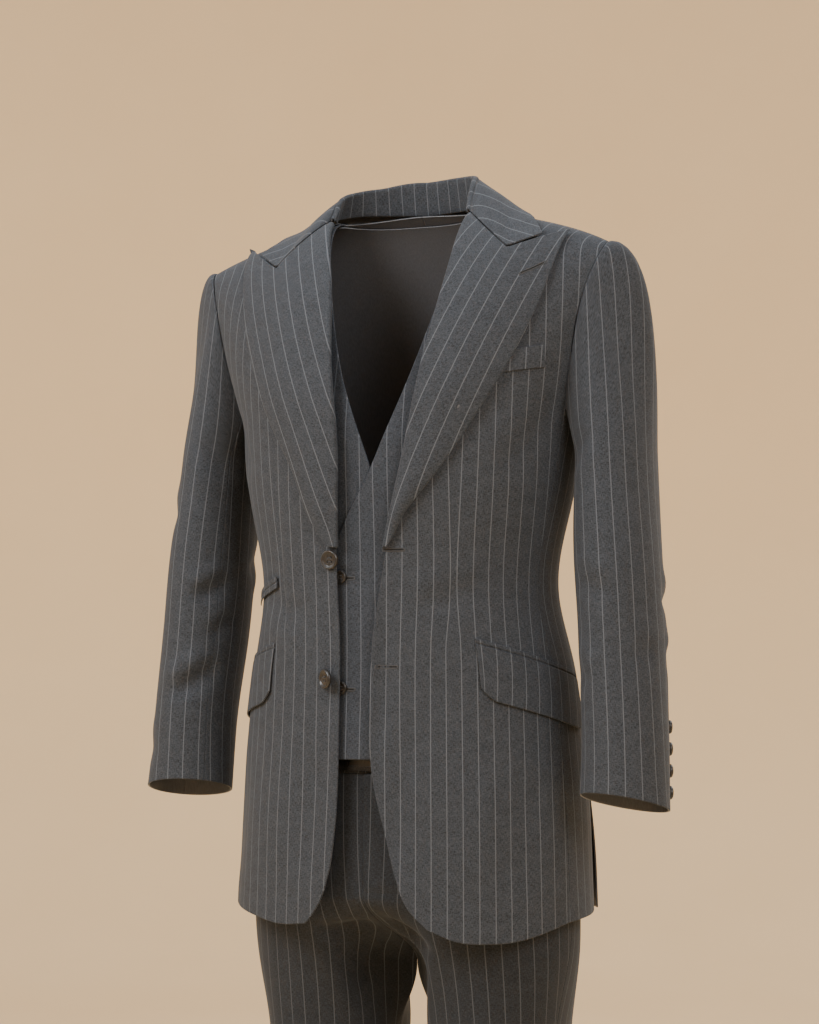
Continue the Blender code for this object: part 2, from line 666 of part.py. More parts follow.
def wall(name, surface, us, vs, cloth, finish, inwards=TRUNK, face_share=1.0, inset=SEAM / 2):
    """A wall of cloth on a grid. face_share is 1 when the surface is its outer face, 0.5 when its middle."""
    u, v = np.meshgrid(us, vs)
    points = surface(u, v)
    normal = normals(surface, u, v, inwards)
    for border, inner in ((0, 1), (-1, -2)):
        for grid in (points, points.transpose(1, 0, 2)):
            run = grid[inner] - grid[border]
            grid[border] += run / np.linalg.norm(run, axis=-1, keepdims=True) * inset
    outer = points + normal * cloth * (1 - face_share)
    inner = outer - normal * cloth
    rows, columns = u.shape
    size = rows * columns
    index = np.arange(size).reshape(rows, columns)
    faces = quads(index) + quads(index[:, ::-1] + size)
    ring = np.concatenate([index[0, :-1], index[:-1, -1], index[-1, :0:-1], index[:0:-1, 0]])
    after = np.roll(ring, -1)
    faces += np.stack([after, ring, ring + size, after + size], axis=-1).tolist()
    both = np.concatenate([outer.reshape(-1, 3), inner.reshape(-1, 3)])
    return mesh_object(name, both, faces, finish)


def quads(index):
    corners = index[:-1, :-1], index[:-1, 1:], index[1:, 1:], index[1:, :-1]
    return np.stack(corners, axis=-1).reshape(-1, 4).tolist()


def button(name, centre, out, radius, thickness, sides, finish):
    """A turned button: a dished face inside a rounded rim."""
    profile = ((0.0, 0.0), (0.72, 0.0), (1.0, 0.35), (0.97, 0.85), (0.78, 1.0), (0.60, 0.68), (0.0, 0.62))
    out = out / np.linalg.norm(out)
    across = np.cross(out, (0.0, 0.0, 1.0))
    across /= np.linalg.norm(across)
    up = np.cross(across, out)
    turn = np.linspace(0, 2 * np.pi, sides, endpoint=False)
    ring = np.cos(turn)[:, None] * across + np.sin(turn)[:, None] * up
    rings = [centre + ring * radius * r + out * thickness * h for r, h in profile[1:-1]]
    ends = [centre + out * thickness * profile[0][1], centre + out * thickness * profile[-1][1]]
    points = np.concatenate([*rings, ends])
    count = len(rings)
    index = np.arange(count * sides).reshape(count, sides)
    index = np.concatenate([index, index[:, :1]], axis=1)
    faces = quads(index)
    low, high = count * sides, count * sides + 1
    faces += [[low, int(b), int(a)] for a, b in zip(index[0, :-1], index[0, 1:])]
    faces += [[high, int(a), int(b)] for a, b in zip(index[-1, :-1], index[-1, 1:])]
    return mesh_object(name, points, faces, finish)


def spread(count, low=0.0, high=1.0):
    return np.linspace(low, high, count)


WAIST_ROW = 0.648  # the row at the waist, where the body is narrowest
LOWER_ROWS = np.concatenate([[0, 0.025, 0.06, 0.11], spread(6, 0.11, WAIST_ROW)[1:], spread(5, WAIST_ROW)[1:]])
BODY_ROWS = np.concatenate([ARM_SHARE * LOWER_ROWS, spread(9, ARM_SHARE, 1)[1:]])
FRONT_COLUMNS = np.concatenate([[0, 0.055, 0.11, 0.165], spread(8, 0.165)[1:]])
FORK_ROWS = trouser_row(np.array([-0.928, -0.902, -0.878, -0.860, -0.846, -0.830, -0.810, -0.788, -0.766]))
FLY_ROWS = np.concatenate([FORK_ROWS[-1:], trouser_row(np.array([-0.730, -0.685])), [1]])
TROUSER_ROWS = np.concatenate([spread(6, 0, FORK_ROWS[0])[:-1], FORK_ROWS[:-1], FLY_ROWS])
BACK_COLUMNS = np.concatenate([[0, 0.05, 0.11, 0.18, 0.27], spread(6, 0.27)[1:]])
VEST_ROWS = np.concatenate([spread(8, 0, ARM_SHARE), spread(8, ARM_SHARE, 1)[1:]])
CAP_ROWS = CAP_SHARE * np.array([0, 0.09, 0.22, 0.42, 0.68])
SLEEVE_ROWS = np.concatenate([CAP_ROWS, spread(10, CAP_SHARE, 1)])
LAPEL_ROWS = np.concatenate([spread(9, 0, 0.78), spread(6, 0.78, 1)[1:]])
FALL_COLUMNS = COLLAR_TURN + (1 - COLLAR_TURN) * np.interp(spread(6)[1:], (0, 0.6, 1), (0, COLLAR_NOTCH_U, 1))
COLLAR_COLUMNS = np.concatenate([[0, 0.5 * COLLAR_STAND], spread(5, COLLAR_STAND, COLLAR_TURN), FALL_COLUMNS])

# The pockets: angles from the front's middle and heights of their lines' two ends.
FLAP = Table(
    "side first last front_z back_z",
    (RIGHT, 37.5, 92.0, -0.5080, -0.5400),
    (LEFT, 42.0, 97.0, -0.5010, -0.5400),
)
TICKET = {"first": 38.5, "last": 68.0, "front_z": -0.4365, "back_z": -0.4560}
WELT = {"first_q": 0.100, "last_q": 0.187, "low_z": -0.2290, "high_z": -0.2065, "rise": 0.016}
FLAP_HEIGHT, FLAP_CORNER, FLAP_FLARE = 0.056, 0.12, 0.0012
JET_HEIGHT = 0.006


def pocket_strip(side, pocket, low, high, out, corner=0.0, flare=0.0):
    """A strip on the jacket, along a pocket: low and high are heights over the pocket's line."""

    def surface(u, v):
        angle = np.radians(pocket["first"] + (pocket["last"] - pocket["first"]) * u)
        line = pocket["front_z"] + (pocket["back_z"] - pocket["front_z"]) * u
        near = np.clip(1 - np.minimum(u, 1 - u) / FLAP_CORNER, 0, 1)
        bottom = low + corner * near**2
        z = line + bottom + (high - bottom) * v
        return lifted_round(JACKET, side, angle, z, out + flare * (1 - v))

    return surface


def lifted_round(body, side, angle, z, out):
    """Points at a distance out from a body below its armholes, by their angle from the front's middle."""
    q, y = body.around(angle, z)
    ahead, behind = body.around(angle + STEP, z), body.around(angle - STEP, z)
    run = np.stack([ahead[0] - behind[0], ahead[1] - behind[1]], axis=-1)
    run /= np.linalg.norm(run, axis=-1, keepdims=True)
    return place(side, q + out * run[..., 1], y - out * run[..., 0], z)


def welt_surface(u, v):
    """The breast welt, straight on the chest."""
    q = WELT["first_q"] + (WELT["last_q"] - WELT["first_q"]) * u
    z = WELT["low_z"] + (WELT["high_z"] - WELT["low_z"]) * v + WELT["rise"] * u
    return lifted(JACKETS[LEFT], LEFT, q, z, 2 * RESTING + TRIM_CLOTH + 0 * u)


FRONT_BUTTONS = {"upper": (-0.413, 0.0312), "lower": (-0.5385, 0.0345)}
FRONT_BUTTON = {"radius": 0.0105, "thickness": 0.0042, "sides": 18}
VEST_BUTTONS = {"upper": (-0.431, 0.0225), "lower": (-0.548, 0.0225)}
VEST_BUTTON = {"radius": 0.0070, "thickness": 0.0034, "sides": 14}
CUFF_BUTTON = {"radius": 0.0072, "thickness": 0.0034, "sides": 12}
CUFF_BUTTON_SHARES = (0.965, 0.926, 0.887, 0.848)
CUFF_BUTTON_PSI = np.radians(-40)
BELT = {"low_z": -0.6330, "high_z": -0.6000, "thickness": 0.0030}
BUCKLE = {"half_width": 0.0215, "low_z": -0.6345, "high_z": -0.5985, "bar": 0.0045, "thickness": 0.0016}


def lapel_columns(side):
    """Values of u over a lapel: round the roll, then across it, with one at the notch."""
    across = np.interp(spread(7), (0, 0.5, 1), (0, NOTCH[side]["along"], 1))
    return np.concatenate([spread(5, 0, ROLL_SHARE), ROLL_SHARE + (1 - ROLL_SHARE) * across[1:]])


def build_jacket(cloth, horn):
    for side in SIDES:
        name = SIDE_NAMES[side]
        front = jacket_front(side)
        wall(f"jacket_front_{name}", front, spread(14), BODY_ROWS, JACKET_CLOTH, cloth)
        wall(f"jacket_side_{name}", jacket_side(side), spread(6), LOWER_ROWS, JACKET_CLOTH, cloth)
        wall(f"jacket_back_{name}", jacket_back(side), spread(11), BODY_ROWS, JACKET_CLOTH, cloth)
        lapel = lapel_surface(side)
        wall(f"jacket_lapel_{name}", lapel, lapel_columns(side), LAPEL_ROWS, LAPEL_CLOTH, cloth, face_share=0.5)
        for part, first, last, count in (
            ("top", BACK_SEAM, FRONT_SEAM, 12),
            ("under", FRONT_SEAM, BACK_SEAM + 2 * np.pi, 9),
        ):
            sleeve = sleeve_surface(side, first, last)
            columns = spread(count)
            piece = f"jacket_sleeve_{part}_{name}"
            wall(piece, sleeve, columns, SLEEVE_ROWS, SLEEVE_CLOTH, cloth, ARMS[side], inset=SEAM)
        pocket = {key: float(FLAP(side, key)) for key in FLAP.names[1:]}
        out = RESTING + FLAP_CLOTH
        flap = pocket_strip(side, pocket, -FLAP_HEIGHT, 0.0, out, corner=0.011, flare=FLAP_FLARE)
        wall(f"jacket_flap_{name}", flap, spread(11), spread(4), FLAP_CLOTH, cloth)
        jet = pocket_strip(side, pocket, SEAM, JET_HEIGHT, RESTING + TRIM_CLOTH)
        wall(f"jacket_jet_{name}", jet, spread(11), spread(2), TRIM_CLOTH, cloth)
        sleeve = sleeve_surface(side, BACK_SEAM, FRONT_SEAM)
        for number, share in enumerate(CUFF_BUTTON_SHARES, 1):
            u = np.array([[(CUFF_BUTTON_PSI - BACK_SEAM) / (FRONT_SEAM - BACK_SEAM)]])
            v = np.array([[share]])
            out = normals(sleeve, u, v, ARMS[side])[0, 0]
            centre = sleeve(u, v)[0, 0] + out * RESTING
            size = CUFF_BUTTON
            button(f"cuff_button_{number}_{name}", centre, out, size["radius"], size["thickness"], size["sides"], horn)
    ticket = pocket_strip(RIGHT, TICKET, -JET_HEIGHT, JET_HEIGHT, 2.5 * RESTING + TRIM_CLOTH)
    wall("jacket_ticket_jets", ticket, spread(7), spread(3), TRIM_CLOTH, cloth)
    wall("jacket_breast_welt", welt_surface, spread(8), spread(3), TRIM_CLOTH, cloth)
    wall("jacket_collar", collar_surface, COLLAR_COLUMNS, spread(25), LAPEL_CLOTH, cloth, face_share=0.5)
    for place_name, (z, q) in FRONT_BUTTONS.items():
        add_body_button(f"jacket_button_{place_name}", JACKETS[RIGHT], RIGHT, q, z, RESTING, FRONT_BUTTON, horn)


def add_body_button(name, body, side, q, z, gap, size, finish):
    low = lifted(body, side, np.array(q), np.array(z), gap)
    high = lifted(body, side, np.array(q), np.array(z), gap + 0.01)
    button(name, low, high - low, size["radius"], size["thickness"], size["sides"], finish)


def build_waistcoat(cloth, horn):
    for side in SIDES:
        name = SIDE_NAMES[side]
        wall(f"waistcoat_front_{name}", vest_front(side), spread(11), VEST_ROWS, WAISTCOAT_CLOTH, cloth)
    wall("waistcoat_back", vest_back, spread(15), VEST_ROWS, WAISTCOAT_CLOTH, cloth)
    for place_name, (z, q) in VEST_BUTTONS.items():
        gap = VEST_LAP + RESTING
        add_body_button(f"waistcoat_button_{place_name}", WAISTCOATS[RIGHT], RIGHT, q, z, gap, VEST_BUTTON, horn)


def build_trousers(cloth, leather, metal):
    for side in SIDES:
        for way, word, columns in ((FRONT, "front", FRONT_COLUMNS), (BACK, "back", BACK_COLUMNS)):
            panel = trouser_surface(side, way)
            name = f"trousers_{word}_{SIDE_NAMES[side]}"
            wall(name, panel, columns, TROUSER_ROWS, TROUSER_CLOTH, cloth, LEGS[side])
    once_round = (np.radians(0.0), np.radians(360.0))
    band = band_surface(TROUSERS, WAISTBAND_LOW_Z, WAISTBAND_TOP_Z, 0.0004, *once_round)
    wall("trousers_waistband", band, spread(37), spread(2), TROUSER_CLOTH, cloth)
    strap_out = 0.0004 + RESTING + BELT["thickness"]
    strap = band_surface(TROUSERS, BELT["low_z"], BELT["high_z"], strap_out, *once_round)
    wall("belt_strap", strap, spread(37), spread(2), BELT["thickness"], leather)
    build_buckle(strap_out, metal)
    fly = raised(trouser_surface(LEFT, FRONT), RESTING + TRIM_CLOTH, LEGS[LEFT])
    wall("trousers_fly", fly, FRONT_COLUMNS[:4], FLY_ROWS, TRIM_CLOTH, cloth)


def build_buckle(strap_out, metal):
    """A plain frame buckle that lies on the strap, over the front's middle."""
    low_z, high_z, bar = BUCKLE["low_z"], BUCKLE["high_z"], BUCKLE["bar"]
    front = -0.0882 - strap_out - SEAM
    half = BUCKLE["half_width"]
    outline = [(-half, low_z), (half, low_z), (half, high_z), (-half, high_z)]
    hole = [(-half + bar, low_z + bar), (half - bar, low_z + bar), (half - bar, high_z - bar), (-half + bar, high_z - bar)]
    rings = [[(x, y, z) for x, z in ring] for y in (front, front - BUCKLE["thickness"]) for ring in (outline, hole)]
    points = np.array(rings).reshape(-1, 3)
    index = np.arange(16).reshape(4, 4)
    index = np.concatenate([index, index[:, :1]], axis=1)
    pairs = ((0, 1), (3, 2), (2, 0), (1, 3))
    faces = [face for a, b in pairs for face in quads(index[[a, b]])]
    mesh_object("belt_buckle", points, faces, metal, smooth=False)


def main():
    for old in list(bpy.data.objects):
        bpy.data.objects.remove(old)
    jacket = material("jacket wool", (0.062, 0.064, 0.070), 0.85)
    waistcoat = material("waistcoat wool", (0.060, 0.062, 0.068), 0.85)
    trousers = material("trouser wool", (0.058, 0.060, 0.066), 0.85)
    horn = material("dark horn", (0.022, 0.018, 0.016), 0.35)
    leather = material("black leather", (0.012, 0.012, 0.012), 0.45)
    metal = material("blackened metal", (0.05, 0.05, 0.052), 0.35, 1.0)
    build_jacket(jacket, horn)
    build_waistcoat(waistcoat, horn)
    build_trousers(trousers, leather, metal)


main()
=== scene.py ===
# %% [markdown]
# # A three-piece suit of grey pinstripe wool
# An open two-button jacket with wide peaked lapels, a waistcoat and flat-front trousers with a belt.
# The solids in the frame already have the suit's true shape, with few faces. This lesson dresses them:
# each piece of cloth is made again as a fine shell on the same surface, with rounded edges, soft creases
# and a woven finish. All sizes are in metres; the front faces -Y and the wearer's left is +X.

import bmesh
import bpy
import numpy as np
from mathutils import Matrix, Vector


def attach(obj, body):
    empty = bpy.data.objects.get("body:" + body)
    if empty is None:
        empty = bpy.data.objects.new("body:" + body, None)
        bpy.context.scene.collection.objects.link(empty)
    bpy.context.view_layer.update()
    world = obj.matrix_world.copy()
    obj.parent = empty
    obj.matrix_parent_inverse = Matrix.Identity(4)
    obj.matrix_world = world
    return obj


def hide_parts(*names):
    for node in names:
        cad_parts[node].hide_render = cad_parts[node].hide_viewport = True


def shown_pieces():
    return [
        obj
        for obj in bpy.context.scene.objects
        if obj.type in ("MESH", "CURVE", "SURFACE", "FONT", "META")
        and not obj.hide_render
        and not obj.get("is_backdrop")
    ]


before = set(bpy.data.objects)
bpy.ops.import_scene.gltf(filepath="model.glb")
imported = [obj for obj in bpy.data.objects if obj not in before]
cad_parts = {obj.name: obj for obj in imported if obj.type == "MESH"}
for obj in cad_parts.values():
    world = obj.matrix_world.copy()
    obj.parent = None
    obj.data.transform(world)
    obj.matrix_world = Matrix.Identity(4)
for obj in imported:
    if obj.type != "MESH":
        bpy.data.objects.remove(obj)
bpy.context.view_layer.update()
print("nodes in the frame:", len(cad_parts))

# %% [markdown]
# ## Sizes
# A tailor's pattern starts from a few measures. Here they are tables of named sizes, and a smooth curve
# runs between their rows, as a French curve does on paper. The same tables shape the solids in the frame,
# so the dressed pieces lie on them without any fitting.

# %% Cloth thicknesses and gaps
SIDES = LEFT, RIGHT = 1, -1
FRONT, BACK = -1, 1
SIDE_NAMES = {LEFT: "left", RIGHT: "right"}

SEAM = 0.0003  # gap between two pieces that are sewn together
RESTING = 0.0006  # gap under a piece that lies on a panel
STEP = 1e-4  # step in u and v for the normals

JACKET_CLOTH = 0.002
SLEEVE_CLOTH = 0.0018
LAPEL_CLOTH = 0.0022
FLAP_CLOTH = 0.0018
TRIM_CLOTH = 0.0011
WAISTCOAT_CLOTH = 0.0018
TROUSER_CLOTH = 0.0014

ROUNDNESS = 2.2  # exponent of the level sections: 2 is an ellipse
CHEST_FALL = 1.5  # exponent of the depth above the armhole
NECK_BEND = 0.04  # how soon the shoulder line turns down beside the neck
SHOULDER_Q = 0.238  # half the distance between the jacket's shoulder points


def ease(t):
    """0 to 1 with level ends: three times t squared, less twice t cubed."""
    t = np.clip(t, 0, 1)
    return t * t * (3 - 2 * t)


def power(value, exponent):
    """The value's size raised to the exponent, with the value's own sign."""
    return np.sign(value) * np.abs(value) ** exponent


def unit(vectors):
    """The same directions, each of length one."""
    return vectors / np.linalg.norm(vectors, axis=-1, keepdims=True)


# %% Tables of sizes
class Table:
    """Rows of sizes with named columns. Between two rows a size follows a smooth curve."""

    def __init__(self, names, *rows):
        self.names = names.split()
        self.rows = np.array(rows, float)

    def __call__(self, key, name):
        keys, values = self.rows[:, 0], self.rows[:, self.names.index(name)]
        steps = np.diff(keys)
        slopes = np.diff(values) / steps
        weighted = slopes[:-1] * steps[1:] + slopes[1:] * steps[:-1]
        ends = np.concatenate([slopes[:1], weighted / (steps[1:] + steps[:-1]), slopes[-1:]])
        key = np.clip(key, keys[0], keys[-1])
        row = np.clip(np.searchsorted(keys, key, side="right") - 1, 0, len(steps) - 1)
        t = (key - keys[row]) / steps[row]
        bend = ends[row] * t * (1 - t) ** 2 - ends[row + 1] * t * t * (1 - t)
        return values[row] + (values[row + 1] - values[row]) * ease(t) + steps[row] * bend


# Level sections of each garment's body: half width, and y at the side, the front and the back.
JACKET_BODY = Table(
    "z half_width side front back",
    (-0.82, 0.203, 0.03, -0.114, 0.152),
    (-0.725, 0.2, 0.03, -0.112, 0.15),
    (-0.62, 0.192, 0.032, -0.108, 0.144),
    (-0.54, 0.1835, 0.032, -0.106, 0.133),
    (-0.445, 0.167, 0.022, -0.106, 0.118),
    (-0.33, 0.1865, 0.024, -0.112, 0.124),
    (-0.255, 0.1985, 0.028, -0.112, 0.128),
)
WAISTCOAT_BODY = Table(
    "z half_width side front back",
    (-0.64, 0.1855, 0.032, -0.099, 0.139),
    (-0.54, 0.1755, 0.032, -0.0955, 0.126),
    (-0.445, 0.159, 0.022, -0.095, 0.111),
    (-0.33, 0.178, 0.024, -0.1005, 0.117),
    (-0.29, 0.185, 0.026, -0.1015, 0.119),
)
PELVIS = Table(
    "z half_width side front back",
    (-0.83, 0.187, 0.036, -0.088, 0.134),
    (-0.72, 0.184, 0.034, -0.09, 0.136),
    (-0.64, 0.177, 0.032, -0.0885, 0.129),
    (-0.59, 0.1725, 0.032, -0.0865, 0.123),
)

# %% [markdown]
# ## The body's surface
# Cut level, the body of a jacket is a rounded rectangle: a superellipse with its own depth in front and
# behind. From the armhole up it grows shallower, until front and back meet at the shoulder line.

# %% The body as a surface
class Body:
    """The outer face of a garment's body, from its hem to its shoulder line.

    A level section is a superellipse. Above the armhole its depth shrinks to nothing at the shoulder line.
    """

    def __init__(self, sections, arm_z, neck_z, shoulder, ridge, top_half_width):
        self.sections, self.arm_z, self.neck_z = sections, arm_z, neck_z
        self.slope, self.drop = shoulder
        self.ridge_y, self.ridge_turn = ridge
        self.top_half_width = top_half_width

    def size(self, z, name):
        return self.sections(np.minimum(z, self.arm_z), name)

    def shoulder(self, q):
        """Height of the shoulder line, which is level over the middle of the neck."""
        run = np.hypot(q, NECK_BEND) - NECK_BEND
        return self.neck_z - self.slope * run - self.drop * (q / SHOULDER_Q) ** 6

    def ridge(self, q):
        """The shoulder line's y."""
        return self.ridge_y - self.ridge_turn * np.hypot(q, NECK_BEND)

    def share(self, q, z):
        """How far up z is, from the armhole's bottom (0) to the shoulder line (1)."""
        return np.maximum((z - self.arm_z) / (self.shoulder(q) - self.arm_z), 0)

    def fullness(self, q, z, share, least=0.0):
        """Share of its full depth that the section has at q."""
        width = self.size(z, "half_width")
        width = width + (self.top_half_width - width) * share
        return np.maximum(1 - np.abs(q / width) ** ROUNDNESS, least) ** (1 / ROUNDNESS)

    def y(self, q, z, way):
        """y of the front or the back at (q, z)."""
        share = self.share(q, z)
        full = self.fullness(q, z, share)
        side = self.size(z, "side")
        y = side + (self.size(z, "front" if way == FRONT else "back") - side) * full
        fall = np.sqrt(np.maximum(1 - share**CHEST_FALL, 0))
        return self.ridge(q) + (y - self.ridge(q)) * fall

    def q_at(self, angle, z):
        return self.size(z, "half_width") * power(np.sin(angle), 2 / ROUNDNESS)

    def angle_at(self, q, z):
        return np.arcsin(power(q / self.size(z, "half_width"), ROUNDNESS / 2))

    def around(self, angle, z):
        """(q, y) at an angle from the front's middle, below the armhole."""
        turn = np.cos(angle)
        side = self.size(z, "side")
        depth = np.where(turn > 0, side - self.size(z, "front"), self.size(z, "back") - side)
        return self.q_at(angle, z), side - depth * power(turn, 2 / ROUNDNESS)


# The slope of each shoulder line and how far its padded end rounds down; the right shoulder hangs lower.
SHOULDERS = {LEFT: (0.215, 0.012), RIGHT: (0.295, 0.006)}
RIDGE = (0.022, 0.05)  # the shoulder line's y at the neck, and how far it comes forward outwards
JACKETS = {side: Body(JACKET_BODY, -0.255, -0.0244, SHOULDERS[side], RIDGE, 0.262) for side in SIDES}
WAISTCOATS = {side: Body(WAISTCOAT_BODY, -0.29, -0.0271, SHOULDERS[side], RIDGE, 0.256) for side in SIDES}
JACKET = JACKETS[LEFT]  # the sides are alike below the armholes
TROUSERS = Body(PELVIS, 0.0, 1.0, (0.0, 0.0), (0.0, 0.0), 0.2)
print("shoulder points:", {SIDE_NAMES[s]: round(float(JACKETS[s].shoulder(SHOULDER_Q)), 3) for s in SIDES})

# %% [markdown]
# ## Fronts, sides and backs
# A jacket's body is six panels. Each panel is a function of u, across, and v, upwards. Below the armhole
# its rows lie round the body; above it they spread between the inner edge and the armhole's edge.

# %% Edges of the jacket's panels
# The seams between front, side and back, as angles from the front's middle.
SIDE_FRONT, SIDE_BACK = np.radians(78), np.radians(112)
ARM_SHARE = 0.6  # v of the armhole's bottom on fronts and backs
ARMHOLE_DIP = 0.013

# q of the fronts' inner edge: the rounded skirt, the straight edge, then the lapel's roll line.
FRONT_EDGE = Table(
    "z left right",
    (-0.81, 0.094, 0.08),
    (-0.796, 0.081, 0.061),
    (-0.78, 0.064, 0.047),
    (-0.741, 0.0456, 0.031),
    (-0.698, 0.034, 0.0248),
    (-0.643, 0.02, 0.022),
    (-0.56, 0.0155, 0.022),
    (-0.497, 0.0183, 0.022),
    (-0.414, 0.0317, 0.025),
    (-0.3, 0.0596, 0.0245),
    (-0.213, 0.0755, 0.034),
    (-0.1, 0.09, 0.058),
    (-0.04, 0.089, 0.086),
)
FRONT_HEM = Table(
    "u left right",
    (0.0, -0.796, -0.796),
    (0.15, -0.807, -0.799),
    (0.4, -0.81, -0.794),
    (1.0, -0.792, -0.782),
)
BACK_HEM_Z = -0.785
# q of the armhole's front and back edges, at shares of the height above its bottom.
ARMHOLE = Table(
    "share front back",
    (0.0, 0.1945, 0.1854),
    (0.3, 0.2065, 0.206),
    (0.6, 0.218, 0.219),
    (1.0, 0.238, 0.238),
)
NECK_Q, NAPE_SHARE = 0.088, 0.957
VENT_TOP_Z, VENT_LIFT = -0.59, 0.005

# %% Panels of the jacket's body
def place(side, q, y, z):
    return np.stack(np.broadcast_arrays(side * q, y, z), axis=-1)


def edge_at_share(body, edge, share):
    """q of an inner edge, given by its z, at a share of the height above the armhole's bottom."""
    q = edge(body.arm_z)
    for _ in range(4):
        q = edge(body.arm_z + share * (body.shoulder(q) - body.arm_z))
    return q


def front_surface(body, side, edge, hem, armhole, side_angle):
    """A front: u from its inner edge to the side seam, v from the hem to the shoulder."""

    def surface(u, v):
        low = np.clip(v / ARM_SHARE, 0, 1)
        share = np.sin(np.pi / 2 * np.clip((v - ARM_SHARE) / (1 - ARM_SHARE), 0, 1))
        z = hem(u) + (body.arm_z - hem(u)) * low
        edge_z = hem(0 * u) + (body.arm_z - hem(0 * u)) * low
        first = body.angle_at(edge(edge_z), edge_z)
        q = body.q_at(first + (side_angle - first) * u, z)
        across = (q - edge(edge_z)) / (body.q_at(side_angle, z) - edge(edge_z))
        inner = edge_at_share(body, edge, share)
        upper_q = inner + (armhole(share) - inner) * across
        upper_z = body.arm_z + share * (body.shoulder(upper_q) - body.arm_z)
        q, z = np.where(share > 0, upper_q, q), np.where(share > 0, upper_z, z)
        return place(side, q, body.y(q, z, FRONT), z)

    return surface


def back_surface(body, side, hem_z, armhole, side_angle, neck_q, nape_share, flare=0.0):
    """A back: u from its middle to the side seam, v from the hem to the neck and shoulder."""

    def surface(u, v):
        low = np.clip(v / ARM_SHARE, 0, 1)
        row = np.sin(np.pi / 2 * np.clip((v - ARM_SHARE) / (1 - ARM_SHARE), 0, 1))
        z = hem_z + (body.arm_z - hem_z) * low
        opened = flare * ease((VENT_TOP_Z + 0.01 - z) / 0.05)
        angle = np.pi - (np.pi - side_angle - opened) * u
        q, y = body.around(angle, z)
        upper_q = armhole(row) * q / body.q_at(side_angle, z)
        top = 1 - (1 - nape_share) * np.clip(1 - (upper_q / neck_q) ** 2, 0, 1)
        upper_z = body.arm_z + row * top * (body.shoulder(upper_q) - body.arm_z)
        y = np.where(row > 0, body.y(upper_q, upper_z, BACK), y)
        q, z = np.where(row > 0, upper_q, q), np.where(row > 0, upper_z, z)
        lift = flare * ease((VENT_TOP_Z - z) / 0.16) * ease((u - 0.7) / 0.3)
        return place(side, q + lift, y + 0.4 * lift, z)

    return surface


def jacket_front(side):
    name = SIDE_NAMES[side]
    return front_surface(
        JACKETS[side],
        side,
        lambda z: FRONT_EDGE(z, name),
        lambda u: FRONT_HEM(u, name),
        lambda share: ARMHOLE(share, "front"),
        SIDE_FRONT,
    )


def jacket_back(side):
    rest = BACK_HEM_Z, lambda share: ARMHOLE(share, "back"), SIDE_BACK, NECK_Q, NAPE_SHARE, VENT_LIFT
    return back_surface(JACKETS[side], side, *rest)


def jacket_side(side):
    """A side body: u from the front's side seam to the back's, v from the hem to the armhole's bottom."""

    def surface(u, v):
        hem_z = FRONT_HEM(1.0, SIDE_NAMES[side])
        hem_z = hem_z + (BACK_HEM_Z - hem_z) * u
        z = hem_z + (JACKET.arm_z - ARMHOLE_DIP * np.sin(np.pi * u) - hem_z) * v
        q, y = JACKET.around(SIDE_FRONT + (SIDE_BACK - SIDE_FRONT) * u, z)
        return place(side, q, y, z)

    return surface

# %% [markdown]
# ## Lapels and collar
# A lapel is the front folded back over its roll line. It's made as its own surface: u turns half a circle
# over the roll and then runs out to the edge. The collar stands at the neck, turns over a fold and falls;
# its two ends are sewn to the lapels, and each notch is what stays open between them.

# %% The lapel
# Heights of the roll line and the outer edge, and q of that edge.
LAPEL = Table(
    "v roll_z edge_z left right",
    (0.0, -0.4, -0.399, 0.0375, 0.034),
    (0.1, -0.364, -0.364, 0.058, 0.0585),
    (0.2, -0.328, -0.326, 0.088, 0.074),
    (0.4, -0.258, -0.262, 0.129, 0.111),
    (0.6, -0.188, -0.202, 0.161, 0.141),
    (0.8, -0.115, -0.138, 0.186, 0.165),
    (1.0, -0.0465, -0.069, 0.201, 0.186),
)
# The notch: how far along the lapel's upper edge, how deep, and how far the collar's corner reaches beyond.
NOTCH = {
    LEFT: {"along": 0.5, "drop": 0.033, "reach": 0.79},
    RIGHT: {"along": 0.4, "drop": 0.0445, "reach": 0.72},
}
ROLL_RADIUS, ROLL_SHARE, ROLL_GAP = 0.0023, 0.14, 0.001
LAPEL_BELLY = 0.0035


def roll_turn(w, radius, cloth):
    """(across, out) of a cloth's middle where it turns over a roll line, for w from 0 to 1."""
    turn = np.pi * np.clip(w, 0, 1)
    return -radius * np.sin(turn), radius * (1 - np.cos(turn)) - cloth / 2


def lapel_surface(side):
    """The middle of a lapel: u turns over the roll line, then runs out to the edge; v from the button up."""
    name = SIDE_NAMES[side]

    def surface(u, v):
        w = np.clip((u - ROLL_SHARE) / (1 - ROLL_SHARE), 0, 1)
        roll_z = LAPEL(v, "roll_z")
        roll_q = FRONT_EDGE(roll_z, name)
        edge_q, edge_z = LAPEL(v, name), LAPEL(v, "edge_z")
        across, out = roll_turn(u / ROLL_SHARE, ROLL_RADIUS, JACKET_CLOTH)
        length = np.hypot(edge_q - roll_q, edge_z - roll_z)
        along = w + (across - ROLL_GAP) / length
        bottom = NOTCH[side]["along"]
        notch = NOTCH[side]["drop"] * ease((v - 0.72) / 0.28)
        notch = notch * np.clip(np.minimum(along / bottom, (1 - along) / (1 - bottom)), 0, 1)
        q = roll_q + (edge_q - roll_q) * along
        z = roll_z + (edge_z - roll_z) * along - notch
        out = out + LAPEL_BELLY * np.sin(np.pi * w) ** 0.8 * ease(v / 0.15) + 0.0004 * ease(w / 0.5)
        return lifted(JACKETS[side], side, q, z, out)

    return surface


